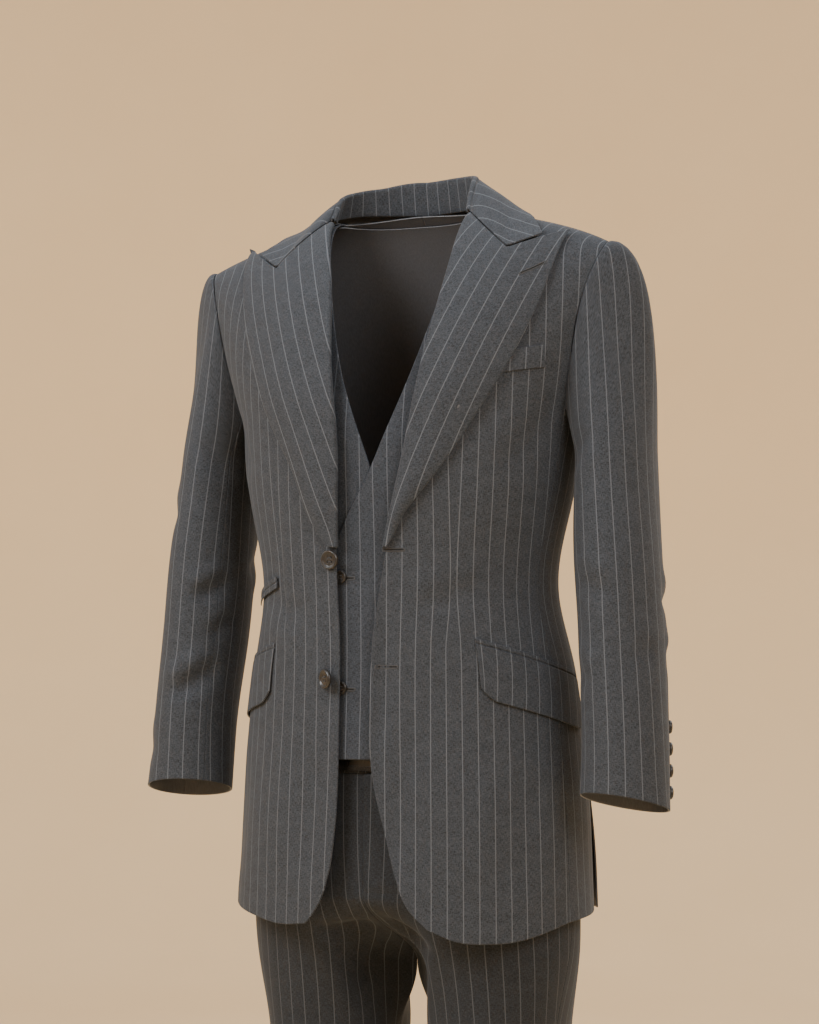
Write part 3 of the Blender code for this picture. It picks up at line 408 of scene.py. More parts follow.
def lifted(body, side, q, z, out):
    """Points over a body's front, at a distance out from its outer face."""
    tiny = 1e-4
    over = np.maximum(z - body.shoulder(q) + 0.006, 0)
    z = z - over
    y = body.y(q, z, FRONT)
    slope_q = (body.y(q + tiny, z, FRONT) - body.y(q - tiny, z, FRONT)) / (2 * tiny)
    slope_z = (y - body.y(q, z - tiny, FRONT)) / tiny
    length = np.sqrt(1 + slope_q**2 + slope_z**2)
    return place(side, q + out * slope_q / length, y - out / length, z + out * slope_z / length + over)

# %% The collar
# Seam, fold and outer edge, from the middle of the back (t = 0) to the front end (t = 1).
COLLAR = Table(
    "t seam_q seam_y seam_z fold_q fold_y fold_z edge_q edge_y edge_z",
    (0.0, 0.0, 0.064, -0.0325, 0.0, 0.061, 0.0035, 0.0, 0.088, -0.043),
    (0.3, 0.04, 0.057, -0.031, 0.041, 0.052, 0.005, 0.062, 0.08, -0.043),
    (0.55, 0.073, 0.037, -0.032, 0.071, 0.033, 0.0025, 0.108, 0.052, -0.043),
    (0.75, 0.0875, 0.014, -0.0375, 0.0805, 0.01, -0.006, 0.138, 0.018, -0.044),
    (1.0, 0.0885, -0.004, -0.0425, 0.089, -0.0105, -0.0385, 0.168, -0.02, -0.0785),
)
COLLAR_DRIFT = 0.008  # the collar's front ends hang this far towards the wearer's left
COLLAR_TILT = 0.009  # how much lower the collar lies on the wearer's right
GORGE_GAP, NOTCH_GAP = 0.0016, 0.003  # gaps over the lapel: along the seam, and at the collar's corner
COLLAR_STAND, COLLAR_TURN = 0.22, 0.36  # shares of u for the stand, and up to the fold's end
COLLAR_RADIUS = 0.0022
COLLAR_NOTCH_U = 0.62


def clear_of(body, points, margin):
    """Points moved out of a body's shoulders, until they are a margin away."""

    def height(p):
        q, y, z = p[..., 0], p[..., 1], p[..., 2]
        share = body.share(q, z)
        full = body.fullness(q, z, share, 1e-4)
        side, ridge = body.size(z, "side"), body.ridge(q)
        reach = np.where(y < ridge, body.size(z, "front"), body.size(z, "back"))
        reach = side + (reach - side) * full - ridge
        return share**CHEST_FALL + ((y - ridge) / reach) ** 2 - 1

    points = points.copy()
    for _ in range(6):
        value = height(points)
        steps = 1e-5 * np.eye(3)
        slope = np.stack([(height(points + step) - value) / 1e-5 for step in steps], axis=-1)
        size = np.linalg.norm(slope, axis=-1)
        short = np.clip(margin - value / size, 0, 0.004)
        points += (short / size)[..., None] * slope
    return points


def free_collar(u, v):
    """The middle of the collar: u from the neck seam over the fold to the outer edge, v round the neck."""
    t = 2 * v - 1
    side, t = np.where(t < 0, -1.0, 1.0), np.abs(t)
    lines = ("seam", "fold", "edge")
    seam, fold, edge = (np.stack([COLLAR(t, f"{line}_{a}") for a in "qyz"], axis=-1) for line in lines)
    out = unit((edge - fold) * np.array([1.0, 1.0, 0.0]))
    up = np.array([0.0, 0.0, 1.0])
    centre = fold - COLLAR_RADIUS * up
    inner, outer = centre - COLLAR_RADIUS * out, centre + COLLAR_RADIUS * out
    stand = np.clip(u / COLLAR_STAND, 0, 1)[..., None]
    turn = np.pi * np.clip((u - COLLAR_STAND) / (COLLAR_TURN - COLLAR_STAND), 0, 1)[..., None]
    fall = np.clip((u - COLLAR_TURN) / (1 - COLLAR_TURN), 0, 1)[..., None]
    over = centre - COLLAR_RADIUS * (np.cos(turn) * out - np.sin(turn) * up)
    down = outer + (edge - outer) * fall
    down += 0.004 * np.sin(np.pi * fall) * (1 - 0.6 * t[..., None] ** 2) * up
    points = np.where(u[..., None] < COLLAR_STAND, seam + (inner - seam) * stand, over)
    points = np.where(u[..., None] < COLLAR_TURN, points, down)
    points[..., 0] = side * points[..., 0] + COLLAR_DRIFT * ease((t - 0.6) / 0.4) * fall[..., 0]
    tilt = COLLAR_TILT * ease(0.3 - side * t) * ease(t / 0.4) * ease((1 - t) / 0.3)
    points[..., 2] -= tilt * stand[..., 0]
    return points


def collar_surface(u, v):
    """The middle of the collar, whose two ends follow the lapels' upper edges."""
    fall = np.clip((u - COLLAR_TURN) / (1 - COLLAR_TURN), 0, 1)
    sewn = np.minimum(fall / COLLAR_NOTCH_U, 1)
    free = np.maximum(fall - COLLAR_NOTCH_U, 0) / (1 - COLLAR_NOTCH_U)
    lift = (GORGE_GAP + (NOTCH_GAP - GORGE_GAP) * free)[..., None] * np.array([0.0, 0.0, 1.0])
    points = free_collar(u, v)
    for side in SIDES:
        notch = NOTCH[side]
        along = notch["along"] * sewn + (notch["reach"] - notch["along"]) * free
        gorge = lapel_surface(side)(ROLL_SHARE + (1 - ROLL_SHARE) * along, np.ones_like(v)) + lift
        own = free_collar(np.maximum(u, COLLAR_TURN), np.full_like(v, (1 + side) / 2))
        near = ease((side * (2 * v - 1) - 0.7) / 0.3)
        points = points + near[..., None] * (gorge - own)
    margin = LAPEL_CLOTH / 2 + 0.001 + 0.0012 * np.abs(2 * v - 1)
    left, right = (clear_of(JACKETS[side], points, margin) for side in SIDES)
    cleared = np.where((v > 0.5)[..., None], left, right)
    return np.where(u[..., None] < COLLAR_TURN, points, cleared)

# %% [markdown]
# ## Sleeves
# A sleeve is a tube in two pieces, the top sleeve and the under sleeve. Below the cap its rows are
# ellipses round the arm's middle line; the cap is a smooth curve from the armhole to the first ellipse.

# %% The arm and the sleeve
# The arms' middle line and half widths, from the top of the arm to the cuff.
ARM = Table(
    "z x y half_x half_y",
    (-0.672, 0.2625, -0.01, 0.048, 0.046),
    (-0.59, 0.2595, -0.001, 0.044, 0.051),
    (-0.5, 0.253, 0.008, 0.045, 0.056),
    (-0.41, 0.246, 0.0135, 0.0435, 0.0595),
    (-0.3, 0.239, 0.025, 0.0405, 0.061),
)
ARM_TOP_Z, CUFF_Z = -0.3, -0.665
CAP_SHARE = 0.36
CAP_FLATNESS = 0.88  # how much flatter the sleeve's head is at the front
CUFF_TILT = 0.25
FRONT_SEAM, BACK_SEAM = np.radians(140), np.radians(-50)
SLEEVE_GAP = 0.0007


def armhole_curve(side, psi):
    """Points round the armhole: psi is 0 at the shoulder, a quarter turn at the front, a half turn below."""
    front, flank, back = jacket_front(side), jacket_side(side), jacket_back(side)
    run = np.linspace(0, 1, 240)
    one = np.ones_like(run)
    down = front(one, 1 - run * (1 - ARM_SHARE))
    under = flank(run, one)
    up = back(one, ARM_SHARE + run * (1 - ARM_SHARE))
    loop = np.concatenate([down, under[1:], up[1:]])
    length = np.concatenate([[0], np.cumsum(np.linalg.norm(np.diff(loop, axis=0), axis=1))])
    low = length[len(down) + len(under) // 2 - 1]
    turn = np.mod(psi, 2 * np.pi) / np.pi
    arc = np.where(turn <= 1, low * turn, low + (length[-1] - low) * (turn - 1))
    return np.stack([np.interp(arc, length, loop[:, i]) for i in range(3)], axis=-1)


def arm_ring(side, psi, z):
    """Points round the arm at a height z of its middle line."""
    x = ARM(z, "x") + ARM(z, "half_x") * np.cos(psi)
    reach = ARM(z, "half_y") * np.sin(psi)
    tilt = CUFF_TILT * ease((ARM_TOP_Z - z) / (ARM_TOP_Z - CUFF_Z))
    return place(side, x, ARM(z, "y") - reach, z + tilt * reach - 0.08 * tilt / CUFF_TILT * (x - ARM(z, "x")))


def sleeve_surface(side, first, last):
    """Part of a sleeve: u turns round the arm from one seam to the other, v from the armhole to the cuff."""

    def surface(u, v):
        psi = first + (last - first) * u
        start = armhole_curve(side, psi) + np.array([side * SLEEVE_GAP, 0, 0])
        end = arm_ring(side, psi, ARM_TOP_Z + 0 * psi)
        flat = ease((np.sin(psi) + 0.3) / 0.9)
        reach = (0.75 - 0.15 * flat)[..., None] * np.linalg.norm(end - start, axis=-1, keepdims=True)
        high = (1 + np.cos(psi)) / 2
        aside = np.where(np.sin(psi) > 0, 0.15, 0.5) * np.sin(psi)
        leave = [side * (0.95 * np.sqrt(high) + 0.05), -aside, 0.2 - 1.2 * (1 - high)]
        leave = unit(np.stack(leave, axis=-1))
        leave[..., 0] *= 1 - CAP_FLATNESS * flat
        t = np.clip(v / CAP_SHARE, 0, 1)[..., None]
        cap = start + (end - start) * ease(t)
        cap = cap + reach * (leave * t * (1 - t) ** 2 - np.array([side * 0.07, -0.1, -1.0]) * t * t * (1 - t))
        z = ARM_TOP_Z + (CUFF_Z - ARM_TOP_Z) * np.clip((v - CAP_SHARE) / (1 - CAP_SHARE), 0, 1)
        return np.where((v <= CAP_SHARE)[..., None], cap, arm_ring(side, psi, z))

    return surface

# %% [markdown]
# ## Waistcoat and trousers
# The waistcoat uses the same kind of panels on a closer body. A trouser panel starts on the pelvis and
# blends into a leg, with half of it turned round the inside of the thigh.

# %% The waistcoat
# q of the fronts' inner edge (left laps over right), and of the armholes.
VEST_EDGE = Table(
    "z left right",
    (-0.64, -0.036, -0.033),
    (-0.42, -0.034, -0.033),
    (-0.4, -0.03, -0.033),
    (-0.319, 0.013, -0.013),
    (-0.21, 0.057, 0.029),
    (-0.12, 0.079, 0.056),
    (-0.045, 0.086, 0.08),
)
VEST_ARMHOLE = Table(
    "share front back",
    (0.0, 0.185, 0.185),
    (0.15, 0.174, 0.176),
    (0.3, 0.165, 0.169),
    (0.6, 0.156, 0.162),
    (1.0, 0.164, 0.164),
)
VEST_SIDE = np.radians(90)
VEST_HEM_Z, VEST_BACK_HEM_Z = -0.623, -0.605
VEST_NECK_Q, VEST_NAPE_SHARE = 0.086, 0.93
VEST_LAP = 0.0026


def vest_front(side):
    name = SIDE_NAMES[side]
    plain = front_surface(
        WAISTCOATS[side],
        side,
        lambda z: VEST_EDGE(z, name),
        lambda u: VEST_HEM_Z + (VEST_BACK_HEM_Z - VEST_HEM_Z) * ease(u),
        lambda share: VEST_ARMHOLE(share, "front"),
        VEST_SIDE,
    )

    def surface(u, v):
        points = plain(u, v)
        if side == LEFT:
            points[..., 1] -= VEST_LAP * (1 - ease((points[..., 0] - 0.036) / 0.05))
        return points

    return surface


def vest_back(u, v):
    """The waistcoat's back in one piece: u from the right side seam to the left."""
    rest = VEST_BACK_HEM_Z, lambda share: VEST_ARMHOLE(share, "back"), VEST_SIDE, VEST_NECK_Q, VEST_NAPE_SHARE
    right, left = (back_surface(WAISTCOATS[way], way, *rest) for way in (RIGHT, LEFT))
    across = np.abs(2 * u - 1)
    return np.where((u < 0.5)[..., None], right(across, v), left(across, v))

# %% The trousers
# The legs' middle line and half widths.
LEG = Table(
    "z x y half_x half_y",
    (-1.535, 0.09, 0.05, 0.054, 0.062),
    (-1.3, 0.092, 0.046, 0.058, 0.068),
    (-1.1, 0.094, 0.041, 0.065, 0.0765),
    (-0.9, 0.0966, 0.038, 0.074, 0.087),
    (-0.79, 0.094, 0.03, 0.089, 0.095),
)
WAISTBAND_TOP_Z, WAISTBAND_LOW_Z = -0.596, -0.6375
FORK_TOP_Z, CROTCH_Z, FORK_Z, LEG_HEM_Z = -0.767, -0.848, -0.926, -1.535
CROTCH_SHARE = 0.3  # share of a panel's width that runs back under the body to the crotch
TROUSER_SIDE, LEG_SIDE = np.radians(88), np.radians(172)


def trouser_surface(side, way):
    """A trouser panel: u from the middle of the front or back, and the inner leg below it, to the side seam.

    Below the fork's top, the inner edge runs under the body to the crotch, and then parts from the other leg.
    """

    def surface(u, v):
        z = LEG_HEM_Z + (WAISTBAND_LOW_Z - SEAM - LEG_HEM_Z) * v
        if way == FRONT:
            angle, turn = TROUSER_SIDE * u, LEG_SIDE * u
        else:
            angle, turn = np.pi - (np.pi - TROUSER_SIDE) * u, -(2 * np.pi - LEG_SIDE) * u
        q, y = TROUSERS.around(angle, z)
        leg_q = LEG(z, "x") - LEG(z, "half_x") * power(np.cos(turn), 2 / ROUNDNESS)
        leg_y = LEG(z, "y") - LEG(z, "half_y") * power(np.sin(turn), 2 / ROUNDNESS)
        blend = ease((FORK_TOP_Z - z) / (FORK_TOP_Z - FORK_Z))
        inner = 1 - ease(u / CROTCH_SHARE)
        under = blend + (ease((FORK_TOP_Z - z) / (FORK_TOP_Z - CROTCH_Z)) - blend) * inner
        apart = blend + (ease((CROTCH_Z - z) / (CROTCH_Z - FORK_Z)) - blend) * inner
        return place(side, q + (leg_q - q) * apart, y + (leg_y - y) * under, z)

    return surface


def trouser_row(z):
    """v of a trouser panel at a height."""
    return (z - LEG_HEM_Z) / (WAISTBAND_LOW_Z - SEAM - LEG_HEM_Z)


def band_surface(body, low_z, high_z, out, first, last):
    """A band round a body: u from one angle to another, v from its lower edge up."""

    def surface(u, v):
        return lifted_round(body, LEFT, first + (last - first) * u, low_z + (high_z - low_z) * v, out)

    return surface


def raised(panel, out, inwards):
    """A surface over a panel, made from the panel's own points moved out."""

    def surface(u, v):
        return panel(u, v) + normals(panel, u, v, inwards) * out

    return surface


def normals(surface, u, v, inwards):
    """Unit normals that point away from the points that inwards gives."""
    u_low, u_high = np.clip(u - STEP, 0, 1), np.clip(u + STEP, 0, 1)
    v_low, v_high = np.clip(v - STEP, 0, 1), np.clip(v + STEP, 0, 1)
    normal = unit(np.cross(surface(u_high, v) - surface(u_low, v), surface(u, v_high) - surface(u, v_low)))
    points = surface(u, v)
    outwards = (normal * (points - inwards(points))).sum(-1).mean() > 0
    return normal if outwards else -normal


def axis_of(x, y):
    """For each point, the point of an upright axis level with it."""

    def inwards(points):
        return np.stack([x + 0 * points[..., 2], y + 0 * points[..., 2], points[..., 2]], axis=-1)

    return inwards


TRUNK = axis_of(0.0, 0.02)
ARMS = {side: axis_of(side * 0.252, 0.01) for side in SIDES}
LEGS = {side: axis_of(side * 0.09, 0.03) for side in SIDES}

# %% Pockets and buttons
# The pockets: angles from the front's middle and heights of their lines' two ends.
FLAP = Table(
    "side first last front_z back_z",
    (RIGHT, 37.5, 92.0, -0.508, -0.54),
    (LEFT, 42.0, 97.0, -0.501, -0.54),
)
TICKET = {"first": 38.5, "last": 68.0, "front_z": -0.4365, "back_z": -0.456}
WELT = {"first_q": 0.1, "last_q": 0.187, "low_z": -0.229, "high_z": -0.2065, "rise": 0.016}
FLAP_LENGTH, TICKET_LENGTH = 0.165, 0.09
FLAP_HEIGHT, FLAP_CORNER, FLAP_ROUND, FLAP_FLARE = 0.056, 0.12, 0.011, 0.0012
JET_HEIGHT = 0.006
FRONT_BUTTONS = {"upper": (-0.413, 0.0312), "lower": (-0.5385, 0.0345)}
VEST_BUTTONS = {"upper": (-0.431, 0.0225), "lower": (-0.548, 0.0225)}
CUFF_BUTTON_SHARES = (0.965, 0.926, 0.887, 0.848)
CUFF_BUTTON_U = (np.radians(-40) - BACK_SEAM) / (FRONT_SEAM - BACK_SEAM)


def pocket_strip(side, pocket, low, high, out, corner=0.0, flare=0.0):
    """A strip on the jacket, along a pocket: low and high are heights over the pocket's line."""

    def surface(u, v):
        angle = np.radians(pocket["first"] + (pocket["last"] - pocket["first"]) * u)
        line = pocket["front_z"] + (pocket["back_z"] - pocket["front_z"]) * u
        near = np.clip(1 - np.minimum(u, 1 - u) / FLAP_CORNER, 0, 1)
        bottom = low + corner * near**2
        z = line + bottom + (high - bottom) * v
        return lifted_round(JACKET, side, angle, z, out + flare * (1 - v))

    return surface


def lifted_round(body, side, angle, z, out):
    """Points at a distance out from a body below its armholes, by their angle from the front's middle."""
    q, y = body.around(angle, z)
    ahead, behind = body.around(angle + STEP, z), body.around(angle - STEP, z)
    run = unit(np.stack([ahead[0] - behind[0], ahead[1] - behind[1]], axis=-1))
    return place(side, q + out * run[..., 1], y - out * run[..., 0], z)


def welt_surface(u, v):
    """The breast welt, straight on the chest."""
    q = WELT["first_q"] + (WELT["last_q"] - WELT["first_q"]) * u
    z = WELT["low_z"] + (WELT["high_z"] - WELT["low_z"]) * v + WELT["rise"] * u
    return lifted(JACKETS[LEFT], LEFT, q, z, 2 * RESTING + TRIM_CLOTH + 0 * u)

# %% [markdown]
# ## Creases
# Worn cloth is never quite smooth. A crease here is a soft trough with a low ridge beside it. It runs
# between two places on the body, each given by an angle round an upright axis and a height, and it fades
# out at both ends. Every layer that lies on a panel is moved by the same creases, so nothing pokes through.

# %% Creases placed one by one
AXES = {"body": (0.0, 0.02, 0.15), "arm": (0.2525, 0.01, 0.05), "leg": (0.09, 0.035, 0.08)}

# Angle and height of both ends, width and depth. Angles grow from the front towards the outer side.
CREASES = {
    ("arm", RIGHT): (
        (-12, -0.458, -66, -0.43, 0.01, 0.0052),
        (12, -0.566, -52, -0.522, 0.011, 0.0064),
        (-30, -0.5, -75, -0.47, 0.009, 0.0032),
        (60, -0.372, 10, -0.352, 0.013, 0.0024),
        (-60, -0.33, -20, -0.27, 0.014, 0.0024),
        (150, -0.47, 90, -0.44, 0.011, 0.0036),
        (165, -0.51, 110, -0.52, 0.011, 0.0032),
        (-150, -0.4, -100, -0.43, 0.011, 0.0032),
        (60, -0.63, 20, -0.61, 0.013, 0.0016),
    ),
    ("arm", LEFT): (
        (20, -0.452, -50, -0.43, 0.013, 0.0023),
        (-10, -0.545, -60, -0.52, 0.012, 0.0029),
        (70, -0.52, 30, -0.5, 0.014, 0.0019),
        (-70, -0.33, -25, -0.275, 0.013, 0.0023),
        (160, -0.47, 95, -0.445, 0.011, 0.0038),
        (150, -0.512, 100, -0.52, 0.011, 0.0032),
        (-150, -0.41, -100, -0.435, 0.011, 0.0032),
    ),
    ("body", 0): (
        (16, -0.43, 12, -0.64, 0.009, 0.0034),
        (-14, -0.445, -13, -0.6, 0.009, 0.0016),
        (62, -0.44, 22, -0.47, 0.015, 0.002),
        (-62, -0.446, -24, -0.48, 0.015, 0.002),
        (26, -0.56, 20, -0.76, 0.02, 0.0027),
        (-22, -0.59, -28, -0.77, 0.02, 0.0024),
        (70, -0.62, 62, -0.78, 0.022, 0.0031),
        (-68, -0.62, -74, -0.78, 0.022, 0.0031),
        (78, -0.25, 60, -0.33, 0.014, 0.0027),
        (-78, -0.25, -60, -0.33, 0.014, 0.0027),
        (120, -0.43, 165, -0.452, 0.014, 0.0034),
        (-118, -0.436, -160, -0.446, 0.014, 0.0034),
        (130, -0.395, 172, -0.41, 0.013, 0.002),
        (112, -0.23, 130, -0.33, 0.014, 0.0037),
        (-112, -0.23, -130, -0.33, 0.014, 0.0037),
        (150, -0.64, 146, -0.78, 0.024, 0.0037),
        (-150, -0.64, -147, -0.78, 0.024, 0.0037),
    ),
    ("vest", 0): (
        (30, -0.45, 6, -0.47, 0.012, 0.0016),
        (-30, -0.545, -8, -0.56, 0.012, 0.0016),
    ),
    ("leg", LEFT): (
        (-62, -0.768, -8, -0.836, 0.0085, 0.0057),
        (-75, -0.8, -30, -0.87, 0.009, 0.0038),
        (-40, -1.06, 20, -1.085, 0.013, 0.003),
        (30, -1.13, -30, -1.11, 0.013, 0.0027),
        (-150, -1.06, 150, -1.09, 0.013, 0.0049),
        (160, -0.85, -120, -0.87, 0.013, 0.0053),
        (20, -1.47, -40, -1.455, 0.013, 0.0049),
        (-30, -1.5, 25, -1.505, 0.011, 0.0034),
    ),
    ("leg", RIGHT): (
        (-8, -0.812, -62, -0.794, 0.0085, 0.0053),
        (-70, -0.812, -35, -0.88, 0.0095, 0.0034),
        (-35, -1.07, 25, -1.09, 0.013, 0.003),
        (35, -1.12, -25, -1.105, 0.013, 0.0023),
        (-155, -1.07, 145, -1.08, 0.013, 0.0046),
        (165, -0.84, -125, -0.862, 0.013, 0.0049),
        (25, -1.465, -35, -1.475, 0.013, 0.0046),
    ),
}


def creased(where, side):
    """How far a panel moves out at each of its points.

    For a crease, d is the distance from its middle line: the trough is a bell curve of d, and the ridge is
    a lower bell curve 1.7 widths to one side. A slow ripple of three sine waves adds what no hand places.
    """
    x0, y0, radius = AXES["body" if where in ("body", "vest") else where]
    mirror = side if side else 1

    def move(points, u, v):
        angle = np.degrees(np.arctan2(mirror * points[..., 0] - x0, y0 - points[..., 1]))
        z = points[..., 2]
        total = np.zeros_like(z)
        for a1, z1, a2, z2, width, depth in CREASES[where, side]:
            wide = np.radians((a2 - a1 + 180) % 360 - 180) * radius
            length = np.hypot(wide, z2 - z1)
            east, north = wide / length, (z2 - z1) / length
            across = np.radians((angle - a1 + 180) % 360 - 180) * radius
            t = (across * east + (z - z1) * north) / length
            d = across * north - (z - z1) * east
            fade = ease(t / 0.35) * ease((1 - t) / 0.35)
            trough = -np.exp(-((d / width) ** 2)) + 0.55 * np.exp(-((d / width - 1.7) ** 2))
            total += depth * fade * trough
        x, y = points[..., 0], points[..., 1]
        ripple = np.sin(41 * z + 23 * x - 11 * y) + np.sin(67 * x - 29 * z + 2) + np.sin(53 * y + 37 * z + 5)
        calm = ease((-0.1 - z) / 0.12) if where in ("body", "vest") else 1.0
        return (total + 0.00022 * ripple) * calm

    return move


# %% [markdown]
# ## A shell of cloth
# A panel of cloth has two faces and a turned edge. The shell is the panel's surface on a fine grid, the
# same grid moved in by the cloth's thickness, and a half-round rim between them. Along every seam the two
# half-round rims meet, and that gives the thin shadow line of a pressed seam.
#
# Each point also keeps two lengths in a UV map: how far it lies across the grain and how far along it.
# A stripe is woven into the cloth, so it's drawn from these lengths, and it bends wherever the cloth does.

# %% Grids with small cells at the edges
EDGE_CELLS = np.array([0.0, 0.0013, 0.003, 0.0055])


def cells(length, size=0.0048, low=0.0, high=1.0):
    """Values from low to high for a length, with small steps at both ends and even ones between."""
    edge = low + (high - low) * EDGE_CELLS / length
    count = max(int(round((length - 2 * EDGE_CELLS[-1]) / size)), 1)
    middle = np.linspace(edge[-1], low + high - edge[-1], count + 1)
    return np.concatenate([edge[:-1], middle, (low + high - edge[:-1])[::-1]])


def split_cells(split, low, high, low_size=0.0048, high_size=0.0048):
    """Values for a panel in two parts: up to the split for one length, and on to 1 for another."""
    upper = cells(high, high_size, split)[len(EDGE_CELLS) - 1 :]
    return np.concatenate([split * cells(low, low_size)[:-1], upper])


def quads(index):
    """Faces between the rows and columns of a grid of point numbers."""
    corners = index[:-1, :-1], index[:-1, 1:], index[1:, 1:], index[1:, :-1]
    return np.stack(corners, axis=-1).reshape(-1, 4)


# %% Lengths along and across the grain
def run_lengths(points, axis):
    """Length walked along each row (axis 1) or column (axis 0) of a grid, from its first point."""
    steps = np.linalg.norm(np.diff(points, axis=axis), axis=-1)
    return np.concatenate([np.zeros_like(steps.take([0], axis)), np.cumsum(steps, axis)], axis)


def upright_grain(line_x, dart=None):
    """A grain that runs upright at x = line_x: lengths are walked along each row from there."""

    def lengths(points, u, v):
        across = run_lengths(points, 1)
        nearest = np.abs(points[..., 0] - line_x).argmin(1)
        row = np.arange(len(points))
        toward = np.sign(points[:, -1, 0] - points[:, 0, 0] + 1e-9)
        start = across[row, nearest] - (points[row, nearest, 0] - line_x) * toward
        across = across - start[:, None]
        if dart is not None:
            across = across + dart(points, u, v)
        along = run_lengths(points, 0)[:, [points.shape[1] // 2]]
        return across, along + 0 * across

    return lengths


def level_grain(points, u, v):
    """A grain round a tube: level lengths from the piece's middle column, so that stripes run down it."""
    flat = points.copy()
    flat[..., 2] = 0
    across = run_lengths(flat, 1)
    middle = points.shape[1] // 2
    along = run_lengths(points, 0)[:, [middle]]
    return across - across[:, [middle]], along + 0 * across


MOST_STEPS, SMALL_ENOUGH = 600, 1e-12  # when the search for the grain's lengths ends


def relaxed_lengths(points, way, start, jumps=None):
    """Lengths across the grain whose direction at each point is way, as near as they can be to start.

    Between two neighbours on the grid, the length should grow by the part of their step that is square to
    the grain. All these wishes can't hold on a rounded form, so the lengths are the ones with the least
    squared misfit, found by the method of conjugate gradients. Jumps are lengths that a dart swallows.
    """
    du, dv = np.gradient(points, axis=1), np.gradient(points, axis=0)
    square = unit(np.cross(np.cross(du, dv), way))
    steps = np.diff(points, axis=1), np.diff(points, axis=0)
    wide, tall = (np.linalg.norm(step, axis=-1) + 1e-9 for step in steps)
    tall_mid, wide_mid = np.linalg.norm(dv, axis=-1), np.linalg.norm(du, axis=-1)
    weight_u = (tall_mid[:, 1:] + tall_mid[:, :-1]) / 2 / wide
    weight_v = (wide_mid[1:] + wide_mid[:-1]) / 2 / tall
    wish_u = (steps[0] * (square[:, 1:] + square[:, :-1]) / 2).sum(-1)
    wish_v = (steps[1] * (square[1:] + square[:-1]) / 2).sum(-1)
    agreement = (weight_u * wish_u * np.diff(start, axis=1)).sum()
    agreement += (weight_v * wish_v * np.diff(start, axis=0)).sum()
    wish_u, wish_v = wish_u * np.sign(agreement), wish_v * np.sign(agreement)
    if jumps is not None:
        wish_u = wish_u + jumps

    def gathered(flow_u, flow_v, start=0.0, sign=-1):
        """What each point gets from the steps that end at it, and gives (or gets) for those that start."""
        total = np.full(points.shape[:2], start)
        total[:, 1:] += flow_u
        total[:, :-1] += sign * flow_u
        total[1:] += flow_v
        total[:-1] += sign * flow_v
        return total

    def pull(s):
        return gathered(weight_u * np.diff(s, axis=1), weight_v * np.diff(s, axis=0))

    load = gathered(weight_u, weight_v, 1e-9, 1)
    s = start
    misfit = gathered(weight_u * wish_u, weight_v * wish_v) - pull(s)
    eased = misfit / load
    way_on, size = eased, (misfit * eased).sum()
    for _ in range(MOST_STEPS):
        pulled = pull(way_on)
        step = size / (way_on * pulled).sum()
        s, misfit = s + step * way_on, misfit - step * pulled
        eased = misfit / load
        size, before = (misfit * eased).sum(), size
        way_on = eased + size / before * way_on
        if size < SMALL_ENOUGH:
            break
    return s


def over_the_top(points, top_way, inwards):
    """Direction of a grain that runs upright, and along top_way where the cloth lies level."""
    normal = unit(np.cross(np.gradient(points, axis=1), np.gradient(points, axis=0)))
    normal *= np.sign(((points - inwards(points)) * normal).sum(-1).mean())
    over = ease((normal[..., 2:] - 0.3) / 0.5)
    return np.array([0.0, 0.0, 1.0]) * (1 - over) + np.array(top_way) * over


def sleeve_grain(side):
    """A sleeve's grain: upright on the arm, and over the sleeve's head towards the neck."""

    def lengths(points, u, v):
        start, along = level_grain(points, u, v)
        s = relaxed_lengths(points, over_the_top(points, (-side, 0.0, 0.0), ARMS[side]), start)
        return s - s[-1, s.shape[1] // 2], along

    return lengths


def panel_grain(line_x, way, inwards, dart=None):
    """A panel's grain: upright at x = line_x, and over the shoulder towards the back or the front."""

    def lengths(points, u, v):
        start, along = upright_grain(line_x, dart)(points, u, v)
        jumps = None if dart is None else np.diff(dart(points, u, v), axis=1)
        s = relaxed_lengths(points, over_the_top(points, (0.0, -way, 0.0), inwards), start, jumps)
        row, column = len(points) // 4, points.shape[1] // 3
        return s - (s - start)[row, column], along

    return lengths


def edge_grain(points, u, v):
    """A grain along a lapel's outer edge: the distance from that edge, square to it."""
    across = run_lengths(points, 1)
    edge = np.gradient(points[:, -1], axis=0)
    row = points[:, -1] - points[:, points.shape[1] // 2]
    sine = np.linalg.norm(np.cross(edge, row), axis=-1)
    sine /= np.linalg.norm(edge, axis=-1) * np.linalg.norm(row, axis=-1)
    return (across[:, [-1]] - across) * sine[:, None] + 0.006, run_lengths(points, 0)[:, [-1]] + 0 * across


def lapel_grain(points, u, v):
    """A lapel's grain: straight, along the line between two places on its outer edge."""
    start, along = edge_grain(points, u, v)
    way = points[int(len(points) * 0.85), -1] - points[int(len(points) * 0.25), -1]
    return relaxed_lengths(points, way, start), along


def neck_grain(points, u, v):
    """A grain across the collar: stripes run from its fold to its edge, at even lengths round the neck."""
    middle = int(points.shape[1] * 0.72)
    round_neck = run_lengths(points, 0)[:, [middle]]
    round_neck = round_neck - round_neck[len(points) // 2]
    way = np.gradient(free_collar(u, v), axis=1)
    return relaxed_lengths(points, way, round_neck + 0 * u), run_lengths(points, 1)


